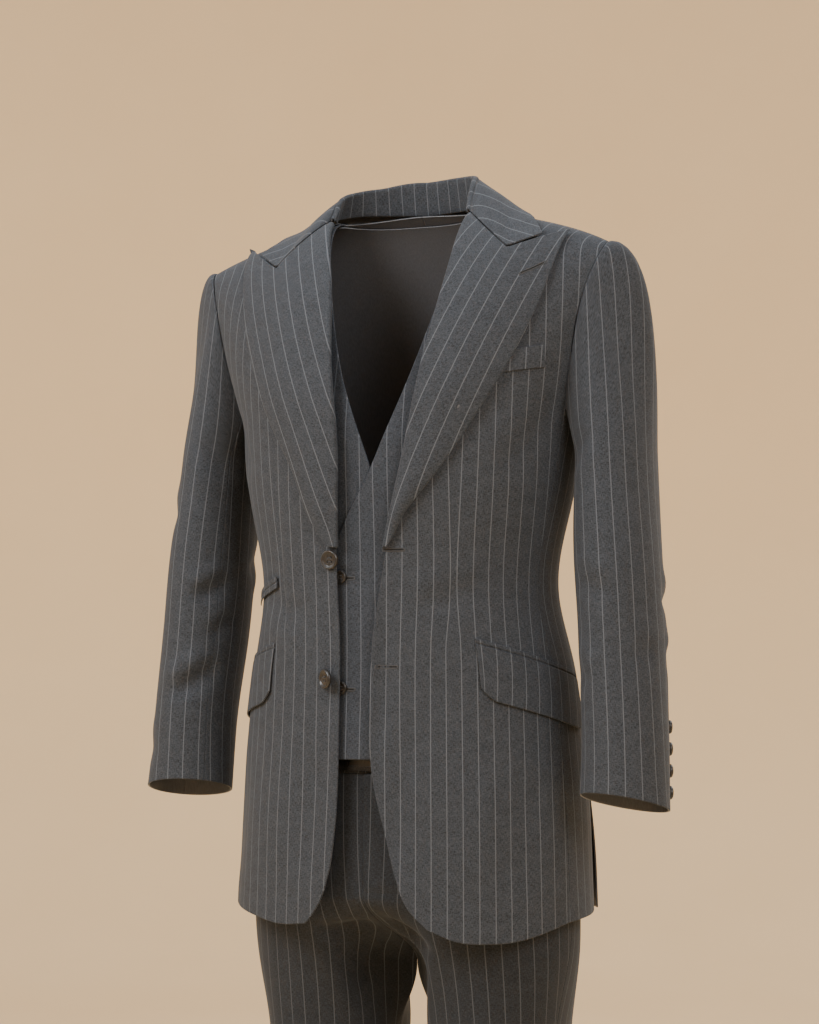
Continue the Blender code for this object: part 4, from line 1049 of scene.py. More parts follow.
# %% Mesh makers
def mesh_piece(name, points, faces, finishes, marks=None, grain=None):
    """A smooth object from arrays: points, faces, and for each face the number of its finish."""
    mesh = bpy.data.meshes.new(name)
    mesh.from_pydata(points.tolist(), [], [list(face) for face in faces])
    for finish in finishes:
        mesh.materials.append(finish)
    if marks is not None:
        mesh.polygons.foreach_set("material_index", np.asarray(marks, dtype=np.int32))
    if grain is not None:
        corner = np.empty(len(mesh.loops), dtype=np.int32)
        mesh.loops.foreach_get("vertex_index", corner)
        layer = mesh.uv_layers.new(name="grain")
        layer.uv.foreach_set("vector", grain[corner].astype(np.float32).ravel())
    mesh.polygons.foreach_set("use_smooth", np.ones(len(mesh.polygons), bool))
    mesh.update()
    made = bpy.data.objects.new(name, mesh)
    bpy.context.scene.collection.objects.link(made)
    return made


RIM_TURNS = np.radians([45.0, 0.0, -45.0])


def cloth_shell(name, surface, us, vs, cloth, finishes, inwards=None, middle=False, move=None, grain=None):
    """A shell of cloth on a surface.

    The outer face is the surface, or half the thickness outside it where the surface is the cloth's middle.
    The rim's rings lie at a distance of r times cosine from the border and h times sine from the middle,
    where h is half the thickness and r a little less.
    """
    u, v = np.meshgrid(us, vs) if np.ndim(us) == 1 else (us, np.broadcast_to(vs[:, None], us.shape))
    points = surface(u, v)
    normal = normals(surface, u, v, inwards or TRUNK)
    if move is not None:
        points = points + normal * move(points, u, v)[..., None]
    half, inset = cloth / 2, -SEAM / 2
    core = points if middle else points - normal * half
    rim = 0.9 * half
    shift = np.zeros_like(core)
    for border, inner in ((0, 1), (-1, -2)):
        for grid, change in ((core, shift), (core.transpose(1, 0, 2), shift.transpose(1, 0, 2))):
            change[border] += unit(grid[inner] - grid[border])
    flat = core + shift * (inset + rim)
    outer, inner = flat + normal * half, flat - normal * half
    rows, columns = u.shape
    size = rows * columns
    index = np.arange(size).reshape(rows, columns)
    ring = np.concatenate([index[0, :-1], index[:-1, -1], index[-1, :0:-1], index[:0:-1, 0]])
    core, shift, normal = (a.reshape(-1, 3)[ring] for a in (core, shift, normal))
    rings = [
        core + shift * (inset + rim * (1 - np.cos(turn))) + normal * half * np.sin(turn) for turn in RIM_TURNS
    ]
    every = np.concatenate([outer.reshape(-1, 3), inner.reshape(-1, 3), *rings])
    rim_rings = [2 * size + len(ring) * k + np.arange(len(ring)) for k in range(len(RIM_TURNS))]
    steps = [ring, *rim_rings, ring + size]
    border = quads(np.stack([np.append(step, step[0]) for step in steps]))
    faces = np.concatenate([quads(index), quads(index[:, ::-1] + size), border[:, ::-1]])
    r, c = rows // 2, columns // 2
    aside, up = outer[r, c + 1] - outer[r, c], outer[r + 1, c] - outer[r, c]
    if np.dot(np.cross(aside, up), outer[r, c] - inner[r, c]) < 0:
        faces = faces[:, ::-1]
    face_count = (rows - 1) * (columns - 1)
    marks = np.concatenate([np.zeros(face_count), np.ones(face_count), np.repeat([0, 0, 1, 1], len(ring))])
    across, along = (grain or upright_grain(0.0))(points, u, v)
    lengths = np.stack([across, along], axis=-1).reshape(-1, 2)
    lengths = np.concatenate([lengths, lengths, *[lengths[ring]] * len(RIM_TURNS)])
    return mesh_piece(name, every, faces, finishes, marks, lengths)


def ringed(rings, ends=None):
    """Points and faces of a surface whose rows are closed rings, with a fan to each of two end points."""
    index = np.arange(rings[..., 0].size).reshape(rings.shape[:2])
    points = rings.reshape(-1, 3)
    faces = quads(np.concatenate([index, index[:, :1]], axis=1)).tolist()
    if ends is not None:
        faces += [[len(points), b, a] for a, b in zip(index[0], np.roll(index[0], -1))]
        faces += [[len(points) + 1, a, b] for a, b in zip(index[-1], np.roll(index[-1], -1))]
        points = np.concatenate([points, ends])
    return points, faces


def tube(path, radius):
    """Points and faces of a closed round tube along a path, with a point at each end."""
    run = unit(np.gradient(path, axis=0))
    aside = unit(np.cross(run, (0.31, 0.17, 0.94)))
    up = np.cross(run, aside)
    turn = np.linspace(0, 2 * np.pi, 8, endpoint=False)
    ring = np.cos(turn)[None, :, None] * aside[:, None] + np.sin(turn)[None, :, None] * up[:, None]
    return ringed(path[:, None] + radius * ring, path[[0, -1]])


def joined(parts):
    """Several lots of points and faces as one."""
    points, faces, start = [], [], 0
    for some_points, some_faces in parts:
        points.append(some_points)
        faces += [[int(i) + start for i in face] for face in some_faces]
        start += len(some_points)
    return np.concatenate(points), faces


# %% [markdown]
# ## Finishes
# A finish is a small tree of nodes. Writing it as sums and products is easier to read than wiring boxes,
# so one small class wraps a node's output and turns + - * / into Math nodes.

# %% Arithmetic on shader wires
class Wire:
    """The output of a node. Arithmetic on it adds Math nodes."""

    def __init__(self, finish, socket):
        self.finish = finish
        self.socket = socket

    def maths(self, operation, *terms):
        return self.finish.node("ShaderNodeMath", {"operation": operation}, dict(enumerate(terms)))

    def size(self):
        return self.maths("ABSOLUTE", self)

    def fraction(self):
        return self.maths("FRACT", self)

    def clipped(self):
        return self.maths("MINIMUM", self.maths("MAXIMUM", self, 0.0), 1.0)


def operator(operation, swapped):
    """A method for a sign such as + or *, with the wire on its left, or on its right when swapped."""

    def method(self, other):
        return self.maths(operation, *((other, self) if swapped else (self, other)))

    return method


for sign, operation in (("add", "ADD"), ("sub", "SUBTRACT"), ("mul", "MULTIPLY"), ("truediv", "DIVIDE")):
    setattr(Wire, f"__{sign}__", operator(operation, False))
    setattr(Wire, f"__r{sign}__", operator(operation, True))


class Finish:
    """A material in the making. Its constants are set on the shader's own sockets."""

    def __init__(self, name, constants):
        self.material = bpy.data.materials.new(name)
        self.material.use_nodes = True
        self.tree = self.material.node_tree
        self.shader = self.tree.nodes["Principled BSDF"]
        for socket, value in constants.items():
            self.shader.inputs[socket].default_value = value

    def node(self, kind, settings=None, inputs=None, output=0):
        """Adds a node: its type, its settings, then its inputs by name or number."""
        made = self.tree.nodes.new(kind)
        for key, value in (settings or {}).items():
            setattr(made, key, value)
        for key, value in (inputs or {}).items():
            if isinstance(value, Wire):
                self.tree.links.new(value.socket, made.inputs[key])
            else:
                made.inputs[key].default_value = value
        return Wire(self, made.outputs[output])

    def mixed(self, share, first, second):
        """A colour between two others."""
        settings = {"data_type": "RGBA"}
        return self.node("ShaderNodeMix", settings, {0: share, 6: first, 7: second}, output=2)

    def noise(self, vector, scale, detail=2.0, roughness=0.5):
        inputs = {"Vector": vector, "Scale": scale, "Detail": detail, "Roughness": roughness}
        return self.node("ShaderNodeTexNoise", {}, inputs)

    def drives(self, socket, wire):
        self.tree.links.new(wire.socket, self.shader.inputs[socket])

    def relief(self, height, distance, strength=1.0):
        """A bump of the given depth in metres."""
        bump = self.node("ShaderNodeBump", {}, {"Height": height, "Distance": distance, "Strength": strength})
        self.drives("Normal", bump)


# %% [markdown]
# ### Worsted wool with a pinstripe
# The cloth is woven from light and dark grey yarns, so it looks grey from afar and mottled close by: short
# streaks lie along the yarns both ways. A pinstripe is a few pale threads at an even distance. It's drawn
# as a thin band round each multiple of the stripe's distance, and it wavers and fades a little, as dots
# of pale yarn do between the crossing threads.

# %% The suit's cloth
STRIPE_PITCH = 0.0167
STRIPE_HALF = 0.0005
STRIPE_SOFT = 0.0005


def wool(name, dark, light, stripe):
    """Mottled grey cloth with a pale stripe wherever the length across the grain is near a whole pitch."""
    constants = {
        "Roughness": 0.88,
        "Specular IOR Level": 0.22,
        "Sheen Weight": 0.06,
        "Sheen Roughness": 0.45,
        "Sheen Tint": (0.9, 0.93, 1.0, 1.0),
    }
    cloth = Finish(name, constants)
    lengths = cloth.node("ShaderNodeUVMap", {"uv_map": "grain"})
    across = cloth.node("ShaderNodeSeparateXYZ", {}, {0: lengths}, 0)
    along = cloth.node("ShaderNodeSeparateXYZ", {}, {0: lengths}, 1)

    def streaks(across_rate, along_rate, detail):
        place_in = cloth.node("ShaderNodeCombineXYZ", {}, {0: across * across_rate, 1: along * along_rate})
        return cloth.noise(place_in, 1.0, detail)

    weft = streaks(300.0, 1300.0, 2.0)
    warp = streaks(1300.0, 300.0, 2.0)
    cloudy = streaks(70.0, 90.0, 3.0)
    mottle = ((weft + warp + 0.3 * cloudy - 1.15) * 2.0 + 0.5).clipped()
    grey = cloth.mixed(mottle, (*dark, 1), (*light, 1))
    waver = (streaks(20.0, 160.0, 1.0) - 0.5) * 0.0005
    distance = (((across + waver) / STRIPE_PITCH + 0.5).fraction() - 0.5).size() * STRIPE_PITCH
    band = ((STRIPE_HALF - distance) / STRIPE_SOFT + 0.5).clipped()
    dots = (streaks(60.0, 950.0, 1.0) * 1.5 + 0.05).clipped()
    line = band * (0.35 + 0.65 * dots)
    cloth.drives("Base Color", cloth.mixed(line, grey, (*stripe, 1)))
    cloth.drives("Roughness", 0.84 + 0.08 * mottle)
    cloth.relief(weft + warp + 0.4 * line, 0.00012, 0.4)
    return cloth.material


JACKET_WOOL = wool("jacket wool", (0.0122, 0.0136, 0.0162), (0.043, 0.048, 0.057), (0.085, 0.091, 0.103))
WAISTCOAT_WOOL = wool("waistcoat wool", (0.0114, 0.0132, 0.0165), (0.04, 0.046, 0.0575), (0.08, 0.088, 0.103))
# The trousers' wool is the suit's one cloth made about half as bright: painted shade, for the lesser light
# that reaches the legs below the jacket.
SHADED_TROUSER_WOOL = wool("trouser wool", (0.0066, 0.0074, 0.0088), (0.0235, 0.0263, 0.0315), (0.056, 0.061, 0.068))

# %% [markdown]
# ### Lining, thread, horn, leather and metal
# The inner faces are a dark lining with a soft gloss. The buttons are horn: dark brown with paler veins
# and a polish. The belt is black leather with a fine grain, and its buckle is blackened metal.


# %% The other finishes
def spotted(name, dark, light, scale, constants, depth, stretch=(1.0, 1.0, 1.0)):
    """A finish whose colour runs between two shades with a noise on object coordinates, with a bump of it."""
    made = Finish(name, constants)
    coordinates = made.node("ShaderNodeTexCoord", {}, {}, "Object")
    stretched = made.node("ShaderNodeVectorMath", {"operation": "MULTIPLY"}, {0: coordinates, 1: stretch})
    spots = made.noise(stretched, scale, 3.0, 0.6)
    share = ((spots - 0.5) * 2.2 + 0.5).clipped()
    made.drives("Base Color", made.mixed(share, (*dark, 1), (*light, 1)))
    made.drives("Roughness", constants["Roughness"] + (spots - 0.5) * 0.16)
    made.relief(spots, depth)
    return made.material


LINING = spotted(
    "charcoal lining",
    (0.055, 0.055, 0.06),
    (0.08, 0.08, 0.087),
    900.0,
    {"Roughness": 0.42, "Specular IOR Level": 0.4},
    0.00008,
    (1.0, 1.0, 0.15),
)
THREAD = spotted(
    "grey thread",
    (0.012, 0.012, 0.013),
    (0.045, 0.046, 0.05),
    2600.0,
    {"Roughness": 0.8},
    0.0001,
    (1.0, 1.0, 3.0),
)
HORN = spotted(
    "dark horn",
    (0.005, 0.0044, 0.004),
    (0.02, 0.016, 0.013),
    260.0,
    {"Roughness": 0.42, "Specular IOR Level": 0.35, "Coat Weight": 0.2, "Coat Roughness": 0.15},
    0.00004,
    (1.0, 1.0, 0.35),
)
LEATHER = spotted(
    "black leather",
    (0.004, 0.004, 0.004),
    (0.012, 0.012, 0.012),
    1500.0,
    {"Roughness": 0.42, "Coat Weight": 0.15, "Coat Roughness": 0.3},
    0.00012,
)
METAL = spotted(
    "blackened metal",
    (0.016, 0.016, 0.017),
    (0.04, 0.04, 0.041),
    700.0,
    {"Roughness": 0.4, "Metallic": 1.0},
    0.00003,
)
# Near-black for the inside of a buttonhole's slit: painted shade for the opening, which the cloth round it
# keeps in shadow.
SLIT_SHADE = spotted("painted slit shade", (0.001, 0.001, 0.001), (0.003, 0.003, 0.003), 2000.0, {"Roughness": 0.95}, 0.0001)
print("finishes:", [m.name for m in bpy.data.materials])

# %% [markdown]
# ## Sewing a piece on
# Each shell rides on the suit's one body and stands for the plain solid on whose surface it lies, which is
# hidden. Its finishes are its garment's wool and the lining; its area is printed beside the one listed for
# its cut.

# %% Cut sizes and the helper that sews a piece on
# Width and length of the cloth that each piece is cut from, the piece's own area, and the cloth's thickness.
CUTS = {
    "jacket_front": (0.28, 0.83, 0.158, JACKET_CLOTH),
    "jacket_side": (0.12, 0.56, 0.047, JACKET_CLOTH),
    "jacket_back": (0.25, 0.81, 0.168, JACKET_CLOTH),
    "jacket_lapel": (0.17, 0.42, 0.036, LAPEL_CLOTH),
    "jacket_collar": (0.46, 0.13, 0.04, LAPEL_CLOTH),
    "jacket_sleeve_top": (0.24, 0.67, 0.102, SLEEVE_CLOTH),
    "jacket_sleeve_under": (0.19, 0.53, 0.075, SLEEVE_CLOTH),
    "jacket_flap": (0.18, 0.07, 0.01, FLAP_CLOTH),
    "jacket_jet": (0.18, 0.02, 0.0012, TRIM_CLOTH),
    "jacket_ticket_jets": (0.1, 0.03, 0.0011, TRIM_CLOTH),
    "jacket_breast_welt": (0.11, 0.035, 0.0028, TRIM_CLOTH),
    "waistcoat_front": (0.27, 0.66, 0.128, WAISTCOAT_CLOTH),
    "waistcoat_back": (0.48, 0.63, 0.245, WAISTCOAT_CLOTH),
    "trousers_front": (0.28, 0.95, 0.208, TROUSER_CLOTH),
    "trousers_back": (0.31, 0.95, 0.228, TROUSER_CLOTH),
    "trousers_waistband": (1.0, 0.06, 0.045, TROUSER_CLOTH),
    "trousers_fly": (0.07, 0.14, 0.0076, TRIM_CLOTH),
}
WOOLS = {"jacket": JACKET_WOOL, "waistcoat": WAISTCOAT_WOOL, "trousers": SHADED_TROUSER_WOOL}


def shell_area(piece):
    """Half the area of a closed shell, in square metres."""
    area = np.empty(len(piece.data.polygons), dtype=np.float32)
    piece.data.polygons.foreach_get("area", area)
    return float(area.sum()) / 2


def sew_on(node, surface, us, vs, **details):
    """Makes a node's shell with its garment's wool and the lining, hangs it on the root body, hides the
    node's solid and prints its area.
    """
    garment = node.split("_")[0]
    width, length, area, cloth = CUTS[node.removesuffix("_left").removesuffix("_right")]
    piece = cloth_shell("cloth_" + node, surface, us, vs, cloth, [WOOLS[garment], LINING], **details)
    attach(piece, "root")
    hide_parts(node)
    print(f"{piece.name}: {shell_area(piece):.4f} m2 of {area}")
    return piece


# %% [markdown]
# ## The jacket's body
# The front has a dart from the chest to the pocket. A dart is a long narrow fold sewn inside: the cloth
# next to it jumps sideways by the fold's width, and the stripes beside it lean in to the waist. Here one
# column of the grid follows the dart, the lengths across the grain jump there, and the cloth dips a little.

# %% The front dart
DART = Table(
    "z q width",
    (-0.502, 0.0972, 0.0),
    (-0.47, 0.0985, 0.007),
    (-0.435, 0.1, 0.01),
    (-0.37, 0.1025, 0.0065),
    (-0.3, 0.1055, 0.0015),
    (-0.265, 0.1065, 0.0),
)
DART_LOW_Z, DART_HIGH_Z = DART.rows[[0, -1], 0]
DART_SLOT, DART_DIP, DART_DIP_WIDTH = 0.0004, 0.0007, 0.0016
FRONT_WIDTH = 0.235


def front_columns(side, rows):
    """Columns of a front, of which the middle pair follows the dart, whatever the row."""
    surface = jacket_front(side)
    plain = cells(FRONT_WIDTH)
    even = np.linspace(0, 1, 400)
    points = surface(*np.meshgrid(even, rows))
    q = np.abs(points[..., 0])
    line = DART(points[:, len(even) // 2, 2], "q")
    at = np.array([np.interp(line[i], q[i], even) for i in range(len(rows))])
    at = at.clip(0.2, 0.75)
    key = int(np.searchsorted(plain, at.mean()))
    slot = DART_SLOT / FRONT_WIDTH
    left = plain[:key] / plain[key - 1] * (at[:, None] - slot)
    right = at[:, None] + slot + (plain[key:] - plain[key]) / (1 - plain[key]) * (1 - at[:, None] - slot)
    return np.concatenate([left, right], axis=1), key


def dart_jump(key):
    """Length that the dart swallows, on the columns beyond it."""

    def jump(points, u, v):
        beyond = np.arange(points.shape[1]) >= key
        return DART(points[:, key, 2], "width")[:, None] * beyond

    return jump


def front_move(key):
    """The jacket's creases, with a shallow dip along the dart."""

    def move(points, u, v):
        z = points[..., 2]
        off = np.abs(np.abs(points[..., 0]) - np.abs(points[:, [key], 0]))
        open_part = ease((z - DART_LOW_Z + 0.003) / 0.02) * ease((DART_HIGH_Z + 0.003 - z) / 0.03)
        return body_move(points, u, v) - DART_DIP * np.exp(-((off / DART_DIP_WIDTH) ** 2)) * open_part

    return move


# %% Fronts, sides and backs
BODY_ROWS = split_cells(ARM_SHARE, 0.55, 0.26)
body_move, vest_move = creased("body", 0), creased("vest", 0)
for side in SIDES:
    name = SIDE_NAMES[side]
    columns, key = front_columns(side, BODY_ROWS)
    darted = {"move": front_move(key), "grain": panel_grain(0.0, FRONT, TRUNK, dart_jump(key))}
    sew_on(f"jacket_front_{name}", jacket_front(side), columns, BODY_ROWS, **darted)
    level = {"move": body_move, "grain": level_grain}
    sew_on(f"jacket_side_{name}", jacket_side(side), cells(0.11), cells(0.54), **level)
    plain = {"move": body_move, "grain": panel_grain(0.0, BACK, TRUNK)}
    sew_on(f"jacket_back_{name}", jacket_back(side), cells(0.21), BODY_ROWS, **plain)

# %% [markdown]
# ## Lapels and collar
# The stripes on a lapel run along its outer edge, since the lapel is faced with its own strip of cloth.
# On the collar they run from the fold to the edge, as on a strip laid round the neck.

# %% Lapels and collar
face = ROLL_SHARE + (1 - ROLL_SHARE) * cells(0.11, 0.0036)
columns = [np.linspace(0, ROLL_SHARE, 10), np.linspace(ROLL_SHARE, face[4], 5)[1:], face[5:]]
rows = [cells(0.38)[:-12], np.linspace(cells(0.38)[-12], 1, 30)[1:]]
grid = np.concatenate(columns), np.concatenate(rows)
for side in SIDES:
    turned = {"middle": True, "move": body_move, "grain": lapel_grain}
    sew_on(f"jacket_lapel_{SIDE_NAMES[side]}", lapel_surface(side), *grid, **turned)
stand = np.linspace(0, COLLAR_STAND, 8)
turn = np.linspace(COLLAR_STAND, COLLAR_TURN, 12)
fall = COLLAR_TURN + (1 - COLLAR_TURN) * np.concatenate([np.linspace(0, 0.97, 20)[1:], [0.985, 1.0]])
grid = np.concatenate([stand, turn[1:], fall]), cells(0.46, 0.0035)
sew_on("jacket_collar", collar_surface, *grid, middle=True, grain=neck_grain)

# %% [markdown]
# ## Sleeves
# Elbows and forearms carry the suit's deepest creases: broad diagonal troughs on the inner side of the
# bend. Both sleeve pieces use one set of creases, so that a crease runs on across the seam.

# %% Sleeves
SLEEVE_ROWS = split_cells(CAP_SHARE, 0.2, 0.38, 0.0045)
SLEEVE_PIECES = (("top", BACK_SEAM, FRONT_SEAM, 0.2), ("under", FRONT_SEAM, BACK_SEAM + 2 * np.pi, 0.15))
for side in SIDES:
    for part, first, last, width in SLEEVE_PIECES:
        sew_on(
            f"jacket_sleeve_{part}_{SIDE_NAMES[side]}",
            sleeve_surface(side, first, last),
            cells(width, 0.0045),
            SLEEVE_ROWS,
            inwards=ARMS[side],
            move=creased("arm", side),
            grain=sleeve_grain(side),
        )

# %% [markdown]
# ## Pockets
# A hip pocket is a slanted cut with two narrow lips, the jets, and a flap that hangs from between them.
# The ticket pocket has jets alone. Lips are raised along both sides of the cut, and the cut is a groove.

# %% Flaps, jets and the breast welt
GROOVE_WIDTH, GROOVE_DEPTH, LIP_RISE = 0.0009, 0.001, 0.0003


def lipped(height, lips):
    """The jacket's creases, with grooves at given shares of a strip's height."""

    def move(points, u, v):
        grooves = sum(np.exp(-(((v - lip) * height / GROOVE_WIDTH) ** 2)) for lip in lips)
        return body_move(points, u, v) + LIP_RISE - GROOVE_DEPTH * grooves

    return move


def pocket_grain(pocket):
    """Upright stripes that meet those of the panel underneath."""

    def lengths(points, u, v):
        run = np.radians(np.linspace(0, pocket["first"], 90))
        q, y = JACKET.around(run, pocket["front_z"])
        start = np.hypot(np.diff(q), np.diff(y)).sum()
        across = run_lengths(points, 1) + start
        return across, run_lengths(points, 0)

    return lengths


for side in SIDES:
    name, wide = SIDE_NAMES[side], cells(FLAP_LENGTH, 0.0035)
    pocket = {key: float(FLAP(side, key)) for key in FLAP.names[1:]}
    grain = pocket_grain(pocket)
    out = RESTING + FLAP_CLOTH
    flap = pocket_strip(side, pocket, -FLAP_HEIGHT, 0.0, out, corner=FLAP_ROUND, flare=FLAP_FLARE)
    sew_on(f"jacket_flap_{name}", flap, wide, cells(FLAP_HEIGHT, 0.004), move=body_move, grain=grain)
    jet = pocket_strip(side, pocket, SEAM, JET_HEIGHT, RESTING + TRIM_CLOTH)
    details = {"move": lipped(JET_HEIGHT, (0.12,)), "grain": grain}
    sew_on(f"jacket_jet_{name}", jet, wide, np.linspace(0, 1, 13), **details)
narrow = cells(TICKET_LENGTH, 0.0035)
jets = pocket_strip(RIGHT, TICKET, -JET_HEIGHT, JET_HEIGHT, 2.5 * RESTING + TRIM_CLOTH)
details = {"move": lipped(2 * JET_HEIGHT, (0.5,)), "grain": pocket_grain(TICKET)}
sew_on("jacket_ticket_jets", jets, narrow, np.linspace(0, 1, 25), **details)
sew_on("jacket_breast_welt", welt_surface, narrow, cells(0.0225, 0.003), move=body_move)

# %% [markdown]
# ## The waistcoat
# It's cut close, with a deep V. The left front laps over the right, so it lies a little further out there.

# %% Waistcoat
for side in SIDES:
    rows = split_cells(ARM_SHARE, 0.35, 0.25)
    sew_on(f"waistcoat_front_{SIDE_NAMES[side]}", vest_front(side), cells(0.23), rows, move=vest_move)
sew_on("waistcoat_back", vest_back, cells(0.42, 0.006), split_cells(ARM_SHARE, 0.33, 0.25, 0.007, 0.007))

# %% [markdown]
# ## The trousers
# Each leg is a front and a back panel. The stripes run down beside the crease line, which is pressed
# along the middle of each panel, and drag folds spread from the fork to the inner thigh.


# %% Trousers
PRESSED_HEIGHT, PRESSED_WIDTH = 0.0016, 0.006


def pressed(side):
    """The leg's creases, with the pressed line: a low sharp ridge down the middle of the panel."""
    soft = creased("leg", side)

    def move(points, u, v):
        z = points[..., 2]
        off = np.abs(np.abs(points[..., 0]) - LEG(z, "x"))
        line = np.exp(-off / PRESSED_WIDTH) * ease((-0.74 - z) / 0.1)
        return soft(points, u, v) * ease(u / 0.06) + PRESSED_HEIGHT * line

    return move


def read_off(surface, us, vs, grain):
    """A grain for a piece that lies on a panel: the panel's own lengths, read off at the piece's u and v."""
    fields = grain(surface(*np.meshgrid(us, vs)), *np.meshgrid(us, vs))

    def lengths(points, u, v):
        column = np.clip(np.searchsorted(us, u) - 1, 0, len(us) - 2)
        row = np.clip(np.searchsorted(vs, v) - 1, 0, len(vs) - 2)
        s = (u - us[column]) / (us[column + 1] - us[column])
        t = (v - vs[row]) / (vs[row + 1] - vs[row])
        low = [field[row, column] * (1 - s) + field[row, column + 1] * s for field in fields]
        high = [field[row + 1, column] * (1 - s) + field[row + 1, column + 1] * s for field in fields]
        return tuple(a * (1 - t) + b * t for a, b in zip(low, high))

    return lengths


def stitched_down(points, u, v):
    """The fly sinks into the panel along its outer and lower edges, where it's stitched down."""
    to_side, to_end = (FLY_SHARE - u) * FLY_SCALE[0], (v - trouser_row(FLY_LOW_Z)) * FLY_SCALE[1]
    distance = np.minimum(to_side, to_end)
    return pressed(LEFT)(points, u, v) - (RESTING + TRIM_CLOTH + 0.0004) * (1 - ease(distance / 0.012))


FLY_SHARE, FLY_LOW_Z = 0.165, -0.766
FLY_SCALE = 0.3, 0.89  # metres for one unit of u and of v
LEG_ROWS = cells(0.9, 0.0058)
LOW_FORK, HIGH_FORK = trouser_row(-0.865), trouser_row(-0.764)
LEG_ROWS = LEG_ROWS[(LEG_ROWS < LOW_FORK - 0.003) | (LEG_ROWS > HIGH_FORK + 0.003)]
LEG_ROWS = np.sort(np.concatenate([LEG_ROWS, np.linspace(LOW_FORK, HIGH_FORK, 34)]))
for side in SIDES:
    for way, word, width in ((FRONT, "front", 0.22), (BACK, "back", 0.26)):
        sew_on(
            f"trousers_{word}_{SIDE_NAMES[side]}",
            trouser_surface(side, way),
            cells(width, 0.005),
            LEG_ROWS,
            inwards=LEGS[side],
            move=pressed(side),
            grain=panel_grain(side * 0.0935, way, LEGS[side]),
        )
band = band_surface(TROUSERS, WAISTBAND_LOW_Z, WAISTBAND_TOP_Z, 0.0004, 0.0, 2 * np.pi)
sew_on("trousers_waistband", band, cells(0.94, 0.006), cells(0.0415, 0.006), grain=level_grain)
panel = trouser_surface(LEFT, FRONT)
sew_on(
    "trousers_fly",
    raised(panel, RESTING + TRIM_CLOTH, LEGS[LEFT]),
    cells(FLY_SCALE[0], 0.004, 0.0, FLY_SHARE),
    cells(0.13, 0.004, trouser_row(FLY_LOW_Z), 1.0),
    inwards=LEGS[LEFT],
    move=stitched_down,
    grain=read_off(panel, cells(0.22, 0.005), LEG_ROWS, panel_grain(0.0935, FRONT, LEGS[LEFT])),
)
for node, finish in (("belt_strap", LEATHER), ("belt_buckle", METAL)):
    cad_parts[node].material_slots[0].material = finish

# %% [markdown]
# ## Buttons
# A horn button is turned on a lathe: a rounded rim round a dished face with four holes. As a surface it is
# a height over the distance r from its middle, and four narrow pits are taken out of it. Two bars of
# thread cross between the holes, and a short shank of thread holds it off the cloth.


# %% Turned buttons with four holes
EDGE_START, EDGE_WIDTH = 0.92, 0.08  # shares of a button's radius: where its edge rounds off, and how wide
HOLE_AT, HOLE_SIZE = 0.21, 0.0085  # how far out each hole lies, and how wide it is
FACE, RIM, PIT = 0.62, 0.38, 0.45  # height of the face's floor, of the rim over it, and a hole's depth
RIM_AT, RIM_WIDTH = 0.84, 0.13  # the rim's distance from the middle, and its width


def turned_button(centre, out, radius, thickness, tilt=0.0):
    """Points and faces of a button, and of its thread.

    The face's height is a rim, a bell curve of the distance from the middle, over a level floor; each hole is
    a pit. The back is flat, and the edge is a half circle.
    """
    out = np.asarray(out, float) / np.linalg.norm(out)
    across = np.cross(out, (0.0, 0.0, 1.0))
    across /= np.linalg.norm(across)
    up = np.cross(across, out)
    turned = np.cos(tilt) * out + np.sin(tilt) * across
    across = np.cross(up, turned)
    rim, under = np.linspace(0, np.pi / 2, 6)[1:], np.linspace(0, np.pi / 2, 5)[1:]
    rings = np.concatenate([np.linspace(0.03, EDGE_START, 34), EDGE_START + EDGE_WIDTH * np.sin(rim)])
    back = np.concatenate([EDGE_START + EDGE_WIDTH * np.cos(under), np.linspace(0.85, 0.05, 4)])
    turn = np.linspace(0, 2 * np.pi, 56, endpoint=False)
    r, a = np.meshgrid(rings, turn, indexing="ij")
    x, y = r * np.cos(a), r * np.sin(a)
    holes = [(HOLE_AT * i, HOLE_AT * j) for i in (-1, 1) for j in (-1, 1)]
    pits = sum(np.exp(-(((x - i) ** 2 + (y - j) ** 2) / HOLE_SIZE) ** 2) for i, j in holes)
    face = FACE + RIM * np.exp(-(((r - RIM_AT) / RIM_WIDTH) ** 2)) - PIT * pits
    edge = np.clip((r - EDGE_START) / EDGE_WIDTH, 0, 1)
    face = face * (1 - edge) + edge * (0.5 + (face - 0.5) * np.sqrt(np.maximum(1 - edge**2, 0)))
    rb, ab = np.meshgrid(back, turn, indexing="ij")
    low = 0.5 * (1 - np.sqrt(np.maximum(1 - np.clip((rb - EDGE_START) / EDGE_WIDTH, 0, 1) ** 2, 0)))
    x, y = np.concatenate([x, rb * np.cos(ab)]), np.concatenate([y, rb * np.sin(ab)])
    height = np.concatenate([face, low])
    spot = centre + out * radius * np.sin(tilt)
    lay = spot + (x * radius)[..., None] * across + (y * radius)[..., None] * up
    middles = np.array([spot + turned * thickness * FACE, spot])
    horn = ringed(lay + (height * thickness)[..., None] * turned, middles)
    t = np.linspace(0, 1, 9)[:, None]
    bars = []
    for j in (-1, 1):
        arch = spot + turned * thickness * (0.42 + 0.3 * np.sin(np.pi * t)) + up * radius * HOLE_AT * j
        bars.append(tube(arch + across * radius * HOLE_AT * (2 * t - 1), radius * 0.055))
    shank = np.linspace(-0.0012, 0.0, 3)[:, None] * out + spot
    bars.append(tube(shank, radius * 0.2))
    return horn, joined(bars)


def face_outward(piece):
    """Turns a closed piece's faces outwards."""
    mesh = bmesh.new()
    mesh.from_mesh(piece.data)
    bmesh.ops.recalc_face_normals(mesh, faces=mesh.faces)
    mesh.to_mesh(piece.data)
    mesh.free()


